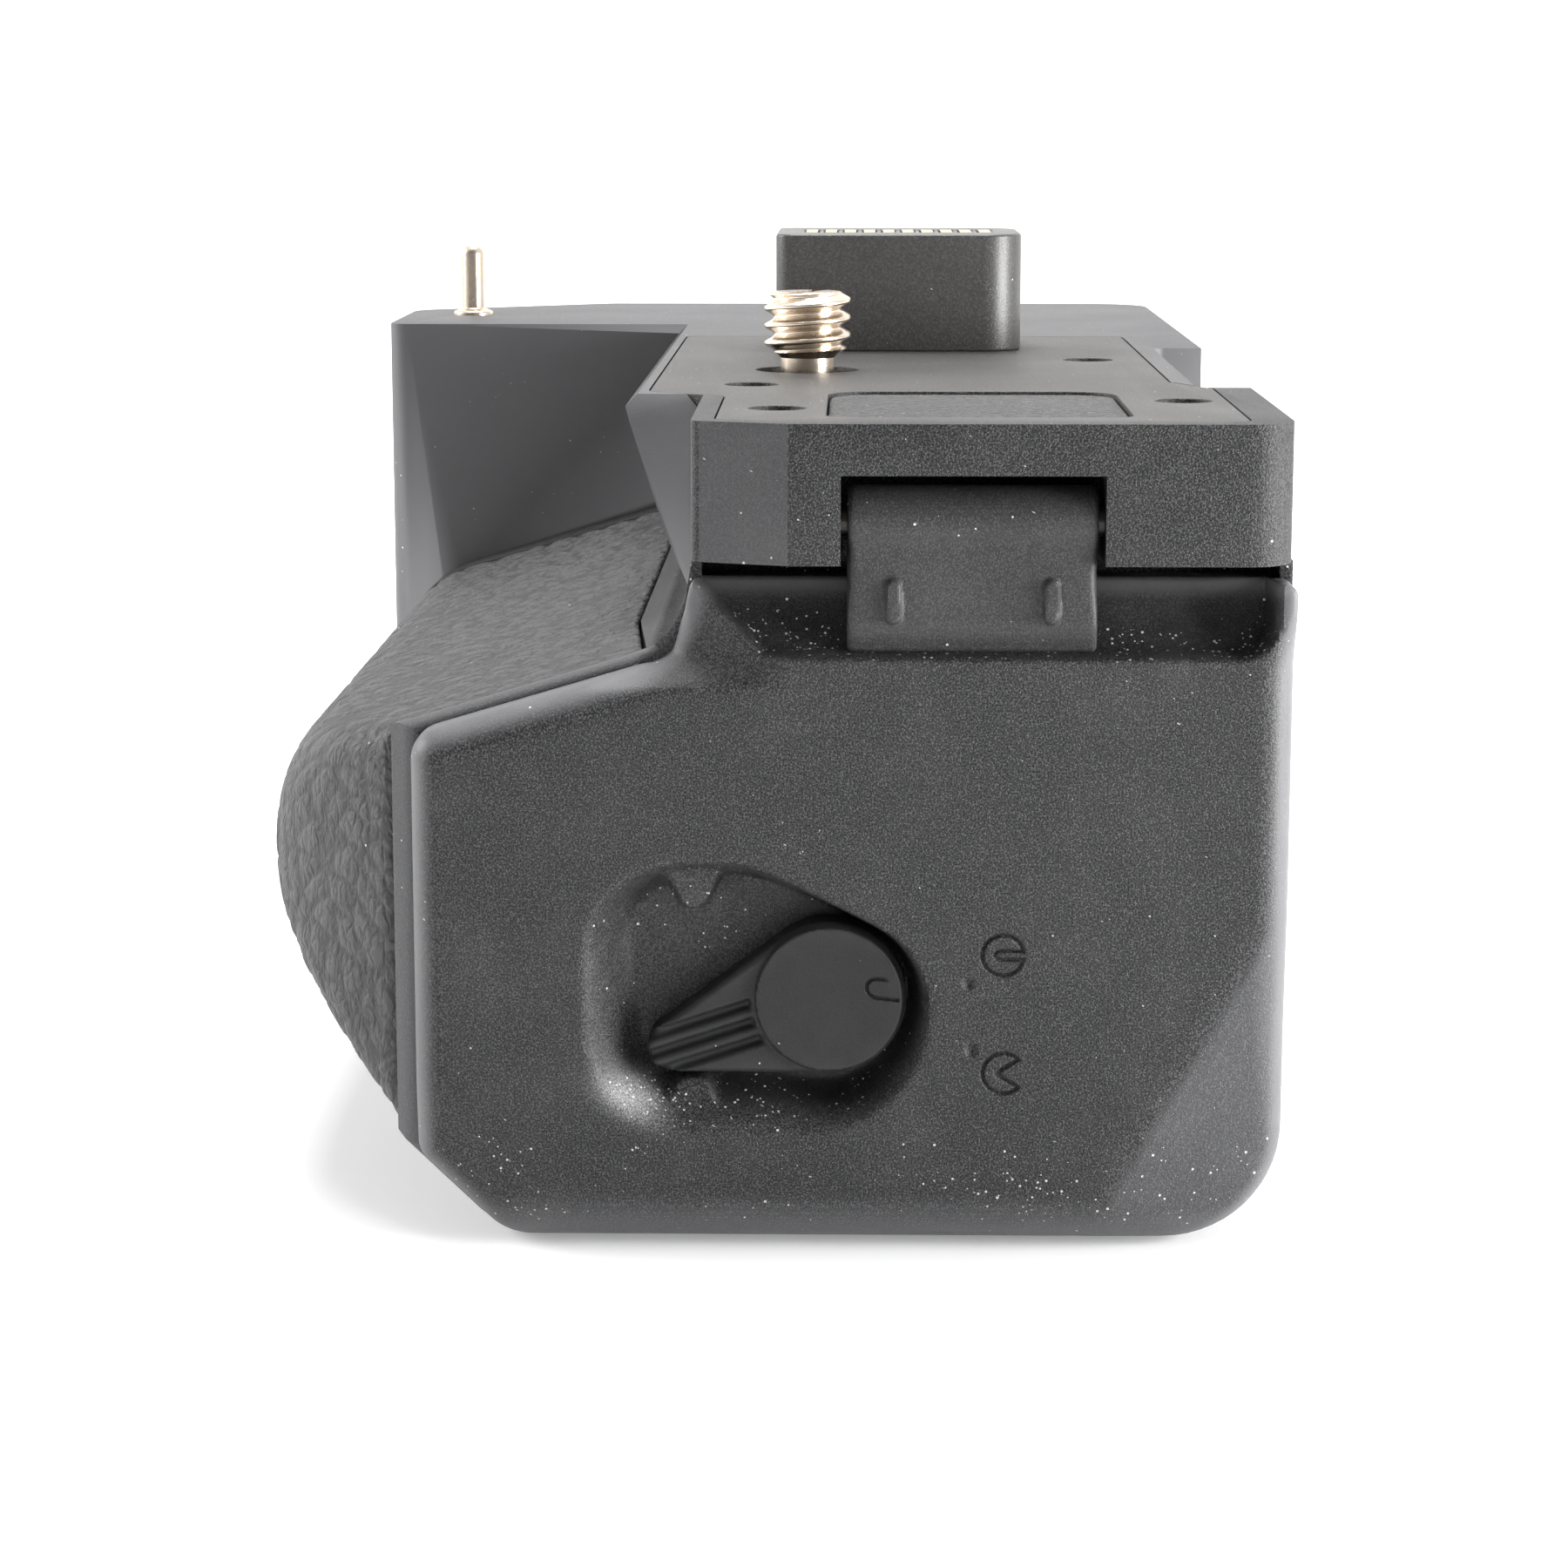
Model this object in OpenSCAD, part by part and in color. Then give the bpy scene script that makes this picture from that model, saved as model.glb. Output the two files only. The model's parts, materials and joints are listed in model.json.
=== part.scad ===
// Battery grip for a camera: a second hand grip that screws under the camera body.
// Origin: mouth of the tripod socket on the base, straight under the camera screw.
// +X runs to the battery door, -Y to the front (lens side), +Z up to the camera.

/* [Overall] */
// Screw axis to the face of the battery door
door_end = 46.4; // [44:0.2:52]
// Screw axis to the far end
far_end = 87.6; // [84:0.2:96]
// Screw axis to the rear wall
rear = 31; // [30.4:0.2:34]
// Base to camera seat
seat_h = 53; // [51:0.2:58]
// How far the base cover stands below the shell
base_proud = 0.4; // [0.2:0.1:0.8]

/* [Hand grip] */
// Screw axis to the foremost line of the hand grip
bulge = 40; // [39:0.2:44]
// Height of the foremost line
bulge_h = 20.5; // [18:0.5:24]
// Screw axis to the brow, where the top slope turns down
brow = 33.5; // [31:0.5:36]
// Height of the brow
brow_h = 31.2; // [29:0.2:33]
// Screw axis to the front edge of the base
foot_front = 19.5; // [17:0.5:22]
// Screw axis to the front edge of the door
door_front = 24.9; // [23:0.2:27]
// Where along X the bulge starts to draw in towards the door
bulge_x = 8; // [2:1:14]
// Drop from the end block to the shoulder of the top slope
shoulder_drop = 5.3; // [4.5:0.1:6.5]
// Radius of the rear lower edge
rear_edge_r = 7.5; // [5:0.5:9]

/* [Top housing] */
// Height of the end block under the camera seat
block_h = 8.8; // [8.4:0.1:9.6]
// Screw axis to the front of the end block
block_front = 6.7; // [6:0.1:8]
// Screw axis to the near end of the undercut wing
wing_x = 23; // [21:0.5:26]
// Screw axis to the top edge of the wing
wing_front = 12; // [11.5:0.1:13]
// How far the wing draws in towards its root
wing_undercut = 2.8; // [2:0.1:3.4]
// How far the foot of the wing's end stands ahead of its top
wing_lean = 7; // [4:0.5:9]
// Length of the head under the camera's own grip
head_len = 33.1; // [31:0.5:36]
// Screw axis to the front of the head
head_front = 37.5; // [36:0.5:39]
// Depth of the rear cut-out
rear_cut = 3.9; // [3:0.1:4.5]

/* [Top plate] */
// Thickness of the top plate
plate_t = 2.6; // [2:0.1:3]
// Height of the connector block
connector_h = 9.1; // [8:0.1:10]
// Width of the connector block
connector_w = 19.3; // [18:0.1:21]
// Length of the connector block
connector_l = 15; // [13:0.5:16]
// Screw axis to the near face of the connector
connector_x = 19.6; // [18.5:0.1:21]
// Length of the stored contact cap
cap_l = 20.5; // [16:0.5:22]
// Width of the stored contact cap
cap_w = 19.2; // [17:0.2:21]

/* [Camera screw] */
// Thread diameter of the camera screw (quarter inch)
screw_d = 6.35; // [6.35]
// Height of the screw above the seat
screw_rise = 5.7; // [5:0.1:6.5]
// Length of the threaded end
thread_l = 4.2; // [3.8:0.1:4.6]
// Radius of the thumbwheel
wheel_r = 11.6; // [11.4:0.1:12]
// Thickness of the thumbwheel
wheel_t = 4; // [3.4:0.1:4.4]
// Locating pin diameter
pin_d = 2.1; // [1.8:0.1:2.4]
// Locating pin height above the seat
pin_rise = 6.3; // [5.5:0.1:7]
// Minor diameter of the tripod socket's thread
socket_d = 5.2; // [5.2]
// Depth of the tripod socket
socket_l = 5.6; // [5:0.1:6]

/* [Battery door] */
// Thickness of the door's outer skin
skin_t = 3.4; // [3:0.1:3.8]
// Slit between the door and the end block
slit = 1.1; // [0.9:0.1:1.4]
// Radius of the scoop under the end block
scoop_r = 6; // [5.6:0.1:6.4]
// Width of the hinge arm
arm_w = 15.6; // [12:0.2:17]
// Radius of the hinge barrel
barrel_r = 2.2; // [2:0.1:2.4]
// Hinge pin diameter
hinge_pin_d = 2; // [1.6:0.1:2.4]
// Depth of the lever recess
recess_d = 3.8; // [3.4:0.1:4]
// Radius of the lever's disc
lever_r = 4.9; // [4.4:0.1:5.2]
// Pivot to the middle of the lever's tip
lever_reach = 10.5; // [9.5:0.1:11]
// Lever travel in degrees
lever_travel = 35; // [25:1:35]
// Throw radius of the crank that draws the bolt
crank_r = 4; // [3.4:0.1:4.2]

/* [Battery] */
// Battery width
battery_w = 40; // [36:0.5:41]
// Battery thickness
battery_t = 20.6; // [18:0.2:21.4]
// Battery length
battery_l = 56; // [50:0.5:58]

/* [Controls] */
// Radius of the dials
dial_r = 7; // [6:0.2:7.4]
// Thickness of the dials
dial_t = 5; // [4:0.2:6]
// How far dials stand out of their wall
dial_proud = 1.4; // [1:0.1:2]
// Radius of the shutter button
shutter_r = 4.6; // [4:0.1:5.2]
// Travel of the shutter button
shutter_travel = 1.2; // [0.6:0.1:1.4]
// Radius of the rear buttons
button_r = 3.4; // [2.6:0.1:4]
// Travel of the rear buttons
button_travel = 0.8; // [0.4:0.1:1]
// Radius of the selector cap
selector_r = 5; // [4.4:0.1:5.2]

/* [Fits] */
// Clearance between bodies that move
move_gap = 0.3; // [0.25:0.05:0.4]
// Radial clearance of a running fit
run_fit = 0.05; // [0.03:0.01:0.08]
// Clearance round pieces that are set in
set_gap = 0.1; // [0.05:0.01:0.2]
// Thickness of the leather-grained pads
pad_t = 1.5; // [1.2:0.1:1.8]
// Wall of the battery chamber
liner_t = 1.2; // [1:0.1:1.4]

/* [Hidden] */
$fn = 48;
hull_fn = 32;
over = 1;

plastic = "#4a4a4c";
fine_plastic = "#464648";
leather = "#525253";
steel = "#c9c2b8";
gold = "#c8a45c";
rubber = "#3c3c3e";
board_green = "#2e5a3c";

// Levels and stations
far_x = -far_end;
head_x = far_x + head_len;
block_z = seat_h - block_h;
base_z = base_proud;
part_x = door_end - skin_t;
part_gap = 0.25;
shell_x = part_x - part_gap;
shoulder_z = block_z - shoulder_drop;
lip_z = block_z - slit;
plate_z = seat_h - plate_t;

// Door stack, from the skin inwards
plug_t = 4.4;
plug_x = part_x - plug_t;
cover_t = 1.2;
cover_x = plug_x - cover_t;
seal_t = 1.1;
pocket_x = cover_x - move_gap - seal_t;
plug_inset = 3.6;
plug_room = 0.8;

// Battery chamber
battery_room = 0.5;
contact_t = 3;
blade_rise = 2.4;
chamber_w = battery_w + 2 * battery_room;
chamber_h = battery_t + 2 * battery_room;
chamber_l = battery_l + battery_room + contact_t;
chamber_floor = 8.2;
chamber_y = 3.5;
chamber_back = pocket_x - chamber_l;

// Latch
lever_y = 2;
lever_z = 16.5;
lever_tip_r = 1.6;
lever_t = 2.9;
recess_x = door_end - recess_d;
shaft_r = 1.6;
crank_pin_r = 0.9;
crank_t = 1;
bolt_t = 1.2;
bolt_h = 6;
latch_depth = 3;
bolt_throw = 2 * crank_r * sin(lever_travel / 2);
bolt_x = plug_x + move_gap;
bolt_z = lever_z - crank_r;
crank_x = bolt_x + bolt_t + move_gap;
plug_front = door_front - plug_inset;

// Hinge
hinge_x = door_end - 0.4 - barrel_r;
hinge_z = block_z + barrel_r + 0.4;
arm_y = 10.85;
arm_gap = 0.4;
hinge_hold = 4;

// Camera screw and its wheel
wheel_gap = 0.5;
wheel_z = plate_z - wheel_gap - wheel_t;
neck_r = 2;
journal_r = 2.5;
journal_l = 3.6;

// Plan of the head's slanted facet, where the shutter button sits
facet_y = 20;
facet_x = 11.6;
facet_mid = [far_x + facet_x / 2, -(facet_y + head_front) / 2, 24];
facet_turn = atan2(-facet_x, -(head_front - facet_y));

// Controls
rear_dial_h = 27;
front_dial_h = bulge_h + 1.5;
dial_axle_r = 1;
dial_room = 0.4;
dial_hold = 3;
rear_dial_x = far_x + 10;
front_dial_x = head_x - 13;
rear_dial_y = rear + dial_proud - dial_r;
front_dial_y = -head_front - dial_proud + dial_r;
button_in = 21.6;
focus_at = [far_x + button_in, 36];
function_at = [far_x + button_in, 17];
selector_in = 32;
selector_at = [far_x + selector_in, 26];
button_proud = 1;
button_l = 4.5;
selector_pivot = 5.2;
selector_room = 1.4;
trunnion_r = 0.8;
trunnion_l = selector_r + 2.8;
collar_r = 8;
collar_t = 2.2;
collar_sunk = 0.4;
shutter_proud = 2.6;
shutter_l = 5;

// Top plate fittings
plate_far = head_x + 16.5;
plate_rim = 1.5;
plate_screws = [
    [14.4, -3.7], [-10.5, rear - 9.8],
    [door_end - 18.2, rear - 5.8], [door_end - 11.9, -block_front + 5.2]
];
cap_t = 1.6;
cap_in = 15.4;
cap_mid = [door_end - cap_in, 11.4];
pin_in = [18.6, 6];
pin_at = [far_x + pin_in.x, -head_front + pin_in.y];
pin_sunk = 6;
pin_root_r = 1.8;
connector_mid_y = 6.9;

// Base fittings
cover_plate_t = 2.4;
cover_near = shell_x - 7;
cover_far = far_x + 5;
cover_front = foot_front - 3;
cover_rear = rear - rear_edge_r;
bush_r = 5.5;
screw_head_r = 1.8;
screw_head_t = 1;
screw_shank_r = 0.9;
screw_shank_l = 4;

// Control bay behind the battery chamber
bay_near = chamber_back - liner_t - 4;
bay_far = far_x + 8;
bay_front = cover_front - 2;
bay_rear = 18;
bay_top = shoulder_z - 6;
boss_l = 4;
boss_r = 2.5;
board_t = 1.6;
board_inset = 2;

base_screw_at = [
    for (x = [cover_near - 3, (chamber_back + bay_near - liner_t) / 2, cover_far + 3.2])
        for (y = [-cover_front + 3.2, cover_rear - 3.2]) [x, y]
];

// Unit vector along v
function unit(v) = v / norm(v);

// z component of the turn from edge ab to edge bc
function turn(a, b, c) = (b.x - a.x) * (c.y - b.y) - (b.y - a.y) * (c.x - b.x);

// Left-hand normal of the edge from a to b
function inward(a, b) = let (e = unit([b.x - a.x, b.y - a.y])) [-e.y, e.x];

// Points of one corner at b: an arc of radius r that touches both of its sides
function corner(a, b, c, r) =
    r <= 0 ? [[b.x, b.y]] :
    let (
        u = unit([a.x - b.x, a.y - b.y]),
        w = unit([c.x - b.x, c.y - b.y]),
        half = acos(u * w) / 2,
        mid = [b.x, b.y] + unit(u + w) * r / sin(half),
        from = [b.x, b.y] + u * r / tan(half) - mid,
        sweep = (180 - 2 * half) * sign(turn(a, b, c)),
        steps = max(2, ceil(abs(sweep) / 12)),
        start = atan2(from.y, from.x)
    )
    [for (i = [0 : steps]) mid + r * [cos(start + sweep * i / steps), sin(start + sweep * i / steps)]];

// Outline of corners [u, v, radius], with its corners rounded
function rounded(p) = let (n = len(p))
    [for (i = [0 : n - 1])
        each corner(p[(i + n - 1) % n], p[i], p[(i + 1) % n], len(p[i]) > 2 ? p[i][2] : 0)];

// The same outline drawn in by d; round corners keep their centres
function drawn_in(p, d) = let (n = len(p))
    [for (i = [0 : n - 1])
        let (
            a = p[(i + n - 1) % n],
            b = p[i],
            c = p[(i + 1) % n],
            n1 = inward(a, b),
            n2 = inward(b, c),
            q = [b.x, b.y] + d * (n1 + n2) / (1 + n1 * n2),
            r = len(b) > 2 ? b[2] : 0
        )
        [q.x, q.y, r > 0 ? max(0.05, r - d * sign(turn(a, b, c))) : 0]];

// Points of an arc about c, from one angle to another
function arc(c, r, from, to, steps) =
    [for (i = [0 : steps]) let (a = from + (to - from) * i / steps) c + r * [cos(a), sin(a)]];

// Height on the line from p to q at the station y
function height_on(p, q, y) = p.y + (q.y - p.y) * (y - p.x) / (q.x - p.x);

// Corners of the hand grip's cross-section, looking back along the grip: [y, z, radius]
shoulder = [-block_front - 0.9, shoulder_z];
foot = [-foot_front, base_z];
grip_corners = [
    [rear, base_z, rear_edge_r],
    [rear, block_z],
    [-block_front, block_z],
    [shoulder.x, shoulder.y, 5],
    [-brow, brow_h, 9],
    [-bulge, bulge_h, 9],
    [foot.x, foot.y, 4]
];

// Corners of the door's outline: the grip's section, cut upright at the door's front edge
door_corners = [
    [rear, base_z, rear_edge_r],
    [rear, lip_z, 0.8],
    [-block_front, lip_z, 0.8],
    [shoulder.x, shoulder.y, 5],
    [-door_front, height_on(shoulder, [-brow, brow_h], -door_front), 2],
    [-door_front, height_on([-bulge, bulge_h], foot, -door_front), 1.5],
    [foot.x, foot.y, 4]
];

// Plan of the hand grip: the front draws in along one arc, which runs on past the door's parting line
arc_dx = shell_x - bulge_x;
arc_dy = bulge - door_front;
arc_r = (arc_dx * arc_dx + arc_dy * arc_dy) / (2 * arc_dy);
arc_sweep = asin(arc_dx / arc_r);
arc_steps = 12;
arc_last = 14;
grip_plan = concat(
    [
        [bulge_x + arc_r * sin(arc_sweep * arc_last / arc_steps), rear],
        [far_x, rear, 5],
        [far_x, -facet_y, 3],
        [far_x + facet_x, -head_front, 4],
        [head_x, -head_front, 8],
        [head_x + 9.5, -bulge, 8]
    ],
    [for (i = [0 : arc_last])
        let (a = arc_sweep * i / arc_steps)
        [bulge_x + arc_r * sin(a), -bulge + arc_r * (1 - cos(a))]]
);

// Plan of the top housing
cut_in = 29.5;
cut_l = 40.5;
cut_near = door_end - cut_in;
cut_far = cut_near - cut_l;
top_plan = [
    [door_end, rear - 0.2, 3],
    [cut_near, rear - 0.2],
    [cut_near, rear - rear_cut, 1],
    [cut_far, rear - rear_cut, 1],
    [cut_far, rear],
    [far_x, rear, 5],
    [far_x, -facet_y, 3],
    [far_x + facet_x, -head_front, 4],
    [head_x, -head_front, 1.5],
    [head_x, -block_front],
    [door_end - 2.3, -block_front, 0.8],
    [door_end, -0.6, 0.4]
];

// Plan of the top plate and of the recess that holds it
plate_plan = [
    [door_end - plate_rim, rear - plate_rim - 1.4, 2],
    [cut_near + 0.8, rear - plate_rim - 1.4, 1],
    [cut_near - 5, rear - rear_cut - plate_rim, 1],
    [plate_far, rear - rear_cut - plate_rim, 1],
    [plate_far, -wing_front + plate_rim, 1],
    [wing_x - 1.6, -wing_front + plate_rim, 3],
    [wing_x + 1.4, -block_front + plate_rim, 2],
    [door_end - plate_rim - 1.8, -block_front + plate_rim, 1],
    [door_end - plate_rim, -0.6, 0.5]
];

// Plan of the base cover
cover_plan = [
    [cover_near, cover_rear, 4],
    [cover_far, cover_rear, 4],
    [cover_far, -cover_front, 4],
    [cover_near, -cover_front, 4]
];

// A section drawn in YZ, run along X
module along_x(x0, x1) {
    translate([x0, 0, 0]) rotate([90, 0, 90]) linear_extrude(x1 - x0) children();
}

// A section drawn in XZ, run along Y
module along_y(y0, y1) {
    translate([0, y1, 0]) rotate([90, 0, 0]) linear_extrude(y1 - y0) children();
}

// A plan drawn in XY, run along Z
module along_z(z0, z1) {
    translate([0, 0, z0]) linear_extrude(z1 - z0) children();
}

// A round bar along X, Y or Z between two stations
module bar_x(x0, x1, r) {
    translate([x0, 0, 0]) rotate([0, 90, 0]) cylinder(r = r, h = x1 - x0);
}
module bar_y(y0, y1, r) {
    translate([0, y1, 0]) rotate([90, 0, 0]) cylinder(r = r, h = y1 - y0);
}
module bar_z(z0, z1, r) {
    translate([0, 0, z0]) cylinder(r = r, h = z1 - z0);
}

// Box between two corners
module box(a, b) {
    translate(a) cube(b - a);
}

// Puts a shape that is drawn about +Z on the slanted facet, +Z pointing out
module on_facet() {
    translate(facet_mid) rotate([0, 0, facet_turn]) rotate([0, 90, 0]) children();
}

// Lower body: the grip's section run along X, trimmed to its plan; d draws it in
module grip_form(d) {
    intersection() {
        along_x(far_x - over, shell_x + over) polygon(rounded(drawn_in(grip_corners, d)));
        along_z(-over, block_z) polygon(rounded(drawn_in(grip_plan, d)));
    }
}

// Upper body: seat housing, undercut wing with a leaning end, and head
wing_h = seat_h - shoulder_z;
module seat_form() {
    along_z(block_z, seat_h) polygon(rounded(top_plan));
    difference() {
        along_x(head_x - over, wing_x + wing_lean)
            polygon([
                [0, shoulder_z], [-block_front, shoulder_z],
                [-wing_front + wing_undercut, block_z],
                [-wing_front + 0.3, seat_h - 1.8], [-wing_front, seat_h - 0.8],
                [-wing_front + 0.8, seat_h], [0, seat_h]
            ]);
        along_y(-wing_front - over, over)
            polygon([
                [wing_x + 2 * wing_lean, shoulder_z - wing_h],
                [wing_x + 3 * wing_lean, shoulder_z - wing_h],
                [wing_x + 3 * wing_lean, seat_h + wing_h],
                [wing_x - wing_lean, seat_h + wing_h]
            ]);
    }
    along_z(bulge_h, block_z + over)
        polygon(rounded([
            [head_x, 0], [far_x, 0], [far_x, -facet_y, 3],
            [far_x + facet_x, -head_front, 4], [head_x, -head_front, 1.5]
        ]));
}

// Where the front pad lies, grown by gap
pad_near = shell_x - 1.2;
pad_far = head_x + 4.5;
pad_low = base_z + 2;
pad_top_y = shoulder.x - 3.4;
pad_step = 1.3;
module pad_zone(gap) {
    along_z(pad_low - gap, shoulder_z + over)
        polygon(rounded(drawn_in([
            [pad_far, -bulge - over], [pad_near, -bulge - over], [pad_near, pad_top_y + pad_step],
            [pad_near - 16, pad_top_y], [pad_far, pad_top_y]
        ], -gap)));
}

// Outline of the rear thumb pad, seen in XZ
thumb_in = 8;
thumb_l = 32;
thumb_x = [head_x + thumb_in, head_x + thumb_in + thumb_l];
thumb_z = [9, 35];
module thumb_outline(gap) {
    polygon(rounded(drawn_in([
        [thumb_x[0], thumb_z[0], 6], [thumb_x[1], thumb_z[0], 10],
        [thumb_x[1], thumb_z[1], 10], [thumb_x[0], thumb_z[1], 6]
    ], -gap)));
}

// Outline of the door's plug, grown by d: the door's outline with one straight slope up to the lip
plug_step = 8;
plug_corners = [
    door_corners[0], door_corners[1], [plug_step - block_front, lip_z],
    door_corners[4], door_corners[5], door_corners[6]
];
module plug_outline(d) {
    polygon(rounded(drawn_in(plug_corners, plug_inset - d)));
}

// Lip behind the scoop
lip_front = block_front - 1.4;
lip_rear = rear - 1.6;
lip_x = part_x - 2.8;
lip_foot = shoulder_z - 3;
module door_pocket() {
    along_x(pocket_x, shell_x + over) plug_outline(plug_room);
    box([lip_x - plug_room, -lip_front - plug_room, lip_foot - plug_room - move_gap],
        [shell_x + over, lip_rear + plug_room, block_z]);
}

// Round pocket and axle holes of a dial that turns about X
module dial_pocket(x, y, z) {
    translate([x, y, z]) {
        bar_x(-dial_t / 2 - dial_room, dial_t / 2 + dial_room, dial_r + dial_room);
        bar_x(-dial_t / 2 - dial_room - dial_hold, dial_t / 2 + dial_room + dial_hold,
            dial_axle_r + run_fit / 2);
    }
}

module main_shell() {
    color(plastic) difference() {
        union() {
            intersection() {
                grip_form(0);
                box([far_x - over, -bulge - over, 0], [shell_x, rear + over, block_z]);
            }
            seat_form();
        }
        // Seats of the pads
        difference() {
            intersection() {
                grip_form(-over);
                pad_zone(set_gap);
            }
            grip_form(pad_t + set_gap);
        }
        along_y(rear - pad_t + 0.3 - set_gap, rear + over) thumb_outline(set_gap);
        // Door end: pocket, hinge notch, hinge pin and the bolt's keeper
        door_pocket();
        box([hinge_x - barrel_r - plug_room, arm_y - arm_w / 2 - arm_gap, block_z - over],
            [door_end + over, arm_y + arm_w / 2 + arm_gap, hinge_z + barrel_r + plug_room]);
        translate([hinge_x, arm_y, hinge_z])
            bar_y(-arm_w / 2 - hinge_hold, arm_w / 2 + hinge_hold, hinge_pin_d / 2 + run_fit / 2);
        box([bolt_x - move_gap, -plug_front - bolt_throw - move_gap, bolt_z - bolt_h / 2 - move_gap],
            [bolt_x + bolt_t + move_gap, -plug_front, bolt_z + bolt_h / 2 + move_gap]);
        // Battery chamber with its seal, and control bay
        along_x(pocket_x, shell_x) seal_outline(seal_w + set_gap);
        box([chamber_back - liner_t - set_gap, chamber_y - chamber_w / 2 - liner_t - set_gap,
                chamber_floor - liner_t - set_gap],
            [pocket_x + over, chamber_y + chamber_w / 2 + liner_t + set_gap,
                chamber_floor + chamber_h + liner_t + set_gap]);
        difference() {
            box([bay_far, -bay_front, 0], [bay_near, bay_rear, bay_top]);
            for (x = [bay_far + 5, bay_near - 5])
                for (y = [-bay_front + 5, bay_rear - 5])
                    translate([x, y, 0]) bar_z(bay_top - boss_l, bay_top + over, boss_r);
        }
        // Wheel, screw journal and top plate
        bar_z(wheel_z - wheel_gap, plate_z + over, wheel_r + wheel_gap);
        bar_z(wheel_z - wheel_gap - journal_l, wheel_z, journal_r + run_fit);
        along_z(plate_z, seat_h + over) polygon(rounded(drawn_in(plate_plan, -set_gap)));
        for (p = plate_screws)
            translate(p) bar_z(plate_z - screw_shank_l, plate_z + over, screw_shank_r + set_gap / 2);
        translate(pin_at) bar_z(seat_h - pin_sunk, seat_h + over, pin_root_r + set_gap / 5);
        // Base cover, its screws and the tripod bush
        along_z(-over, cover_plate_t + set_gap) polygon(rounded(drawn_in(cover_plan, -set_gap)));
        bar_z(0, socket_l + set_gap, bush_r + set_gap);
        for (p = base_screw_at)
            translate(p) bar_z(0, screw_head_t + screw_shank_l + set_gap, screw_shank_r + set_gap / 2);
        // Controls
        dial_pocket(rear_dial_x, rear_dial_y, rear_dial_h);
        dial_pocket(front_dial_x, front_dial_y, front_dial_h);
        for (p = [focus_at, function_at])
            translate([p.x, 0, p.y])
                bar_y(rear + button_proud - button_l - button_travel - move_gap, rear + over,
                    button_r + move_gap);
        translate([selector_at.x, 0, selector_at.y])
            bar_y(rear - selector_pivot - 2.6, rear + over, selector_r + selector_room);
        translate([selector_at.x, rear - selector_pivot, selector_at.y])
            bar_x(-trunnion_l, trunnion_l, trunnion_r + run_fit);
        on_facet() {
            bar_z(-collar_sunk - set_gap, over, collar_r + move_gap);
            bar_z(shutter_proud - shutter_l - shutter_travel - move_gap, over, shutter_r + move_gap);
        }
    }
}

module base_cover() {
    color(fine_plastic) difference() {
        along_z(0, cover_plate_t) polygon(rounded(cover_plan));
        bar_z(-over, cover_plate_t + over, bush_r + set_gap);
        for (p = base_screw_at)
            translate(p) {
                bar_z(-over, screw_head_t + set_gap, screw_head_r + set_gap);
                bar_z(-over, cover_plate_t + over, screw_shank_r + set_gap);
            }
    }
}

module base_screws() {
    color(steel) for (p = base_screw_at)
        translate(p) {
            bar_z(set_gap, screw_head_t, screw_head_r);
            bar_z(screw_head_t, screw_head_t + screw_shank_l, screw_shank_r);
        }
}

module tripod_bush() {
    color(steel) difference() {
        bar_z(0, socket_l, bush_r);
        bar_z(-over, socket_l + over, socket_d / 2);
    }
}

module top_plate() {
    color(plastic) difference() {
        along_z(plate_z, seat_h) polygon(rounded(plate_plan));
        bar_z(plate_z - over, seat_h + over, screw_d / 2 + 0.6);
        translate([cap_mid.x, cap_mid.y, 0]) cap_block(seat_h - cap_t - set_gap, seat_h + over, set_gap);
        for (p = plate_screws)
            translate(p) {
                bar_z(seat_h - screw_head_t - 0.4, seat_h + over, screw_head_r + set_gap);
                bar_z(plate_z - over, seat_h, screw_shank_r + set_gap);
            }
    }
}

module top_plate_screws() {
    color(rubber) for (p = plate_screws)
        translate(p) {
            bar_z(seat_h - screw_head_t - 0.4, seat_h - 0.4, screw_head_r);
            bar_z(plate_z - screw_shank_l, seat_h - screw_head_t - 0.4, screw_shank_r);
        }
}

// Block with the plan of the stored cap, grown by gap
module cap_block(z0, z1, gap) {
    along_z(z0, z1) polygon(rounded(drawn_in([
        [cap_l / 2, cap_w / 2, 1.5], [-cap_l / 2, cap_w / 2, 3],
        [-cap_l / 2, -cap_w / 2, 3], [cap_l / 2, -cap_w / 2, 1.5]
    ], -gap)));
}

module contact_cap() {
    color(rubber) translate([cap_mid.x, cap_mid.y, 0]) cap_block(seat_h - cap_t, seat_h - 0.2, 0);
}

contact_count = 10;
contact_w = 0.9;
strip_l = 6;
strip_t = 1.2;
module connector_block() {
    color(fine_plastic) translate([-connector_x - connector_l, connector_mid_y - connector_w / 2, 0])
        difference() {
            along_z(seat_h, seat_h + connector_h)
                polygon(rounded([
                    [connector_l, 0, 1.5], [connector_l, connector_w, 3],
                    [0, connector_w, 3], [0, 0, 1.5]
                ]));
            contact_slots(set_gap);
        }
}

// Row of contact strips in the top of the connector block
contact_edge = 2;
module contact_slots(gap) {
    pitch = (connector_w - 2 * contact_edge) / contact_count;
    for (i = [0 : contact_count - 1])
        translate([connector_l / 2, contact_edge + pitch * (i + 0.5), seat_h + connector_h])
            box([-strip_l / 2 - gap, -contact_w / 2 - gap, -strip_t - gap],
                [strip_l / 2 + gap, contact_w / 2 + gap, gap > 0 ? over : 0]);
}

module connector_contacts() {
    color(gold) translate([-connector_x - connector_l, connector_mid_y - connector_w / 2, 0])
        contact_slots(0);
}

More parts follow.
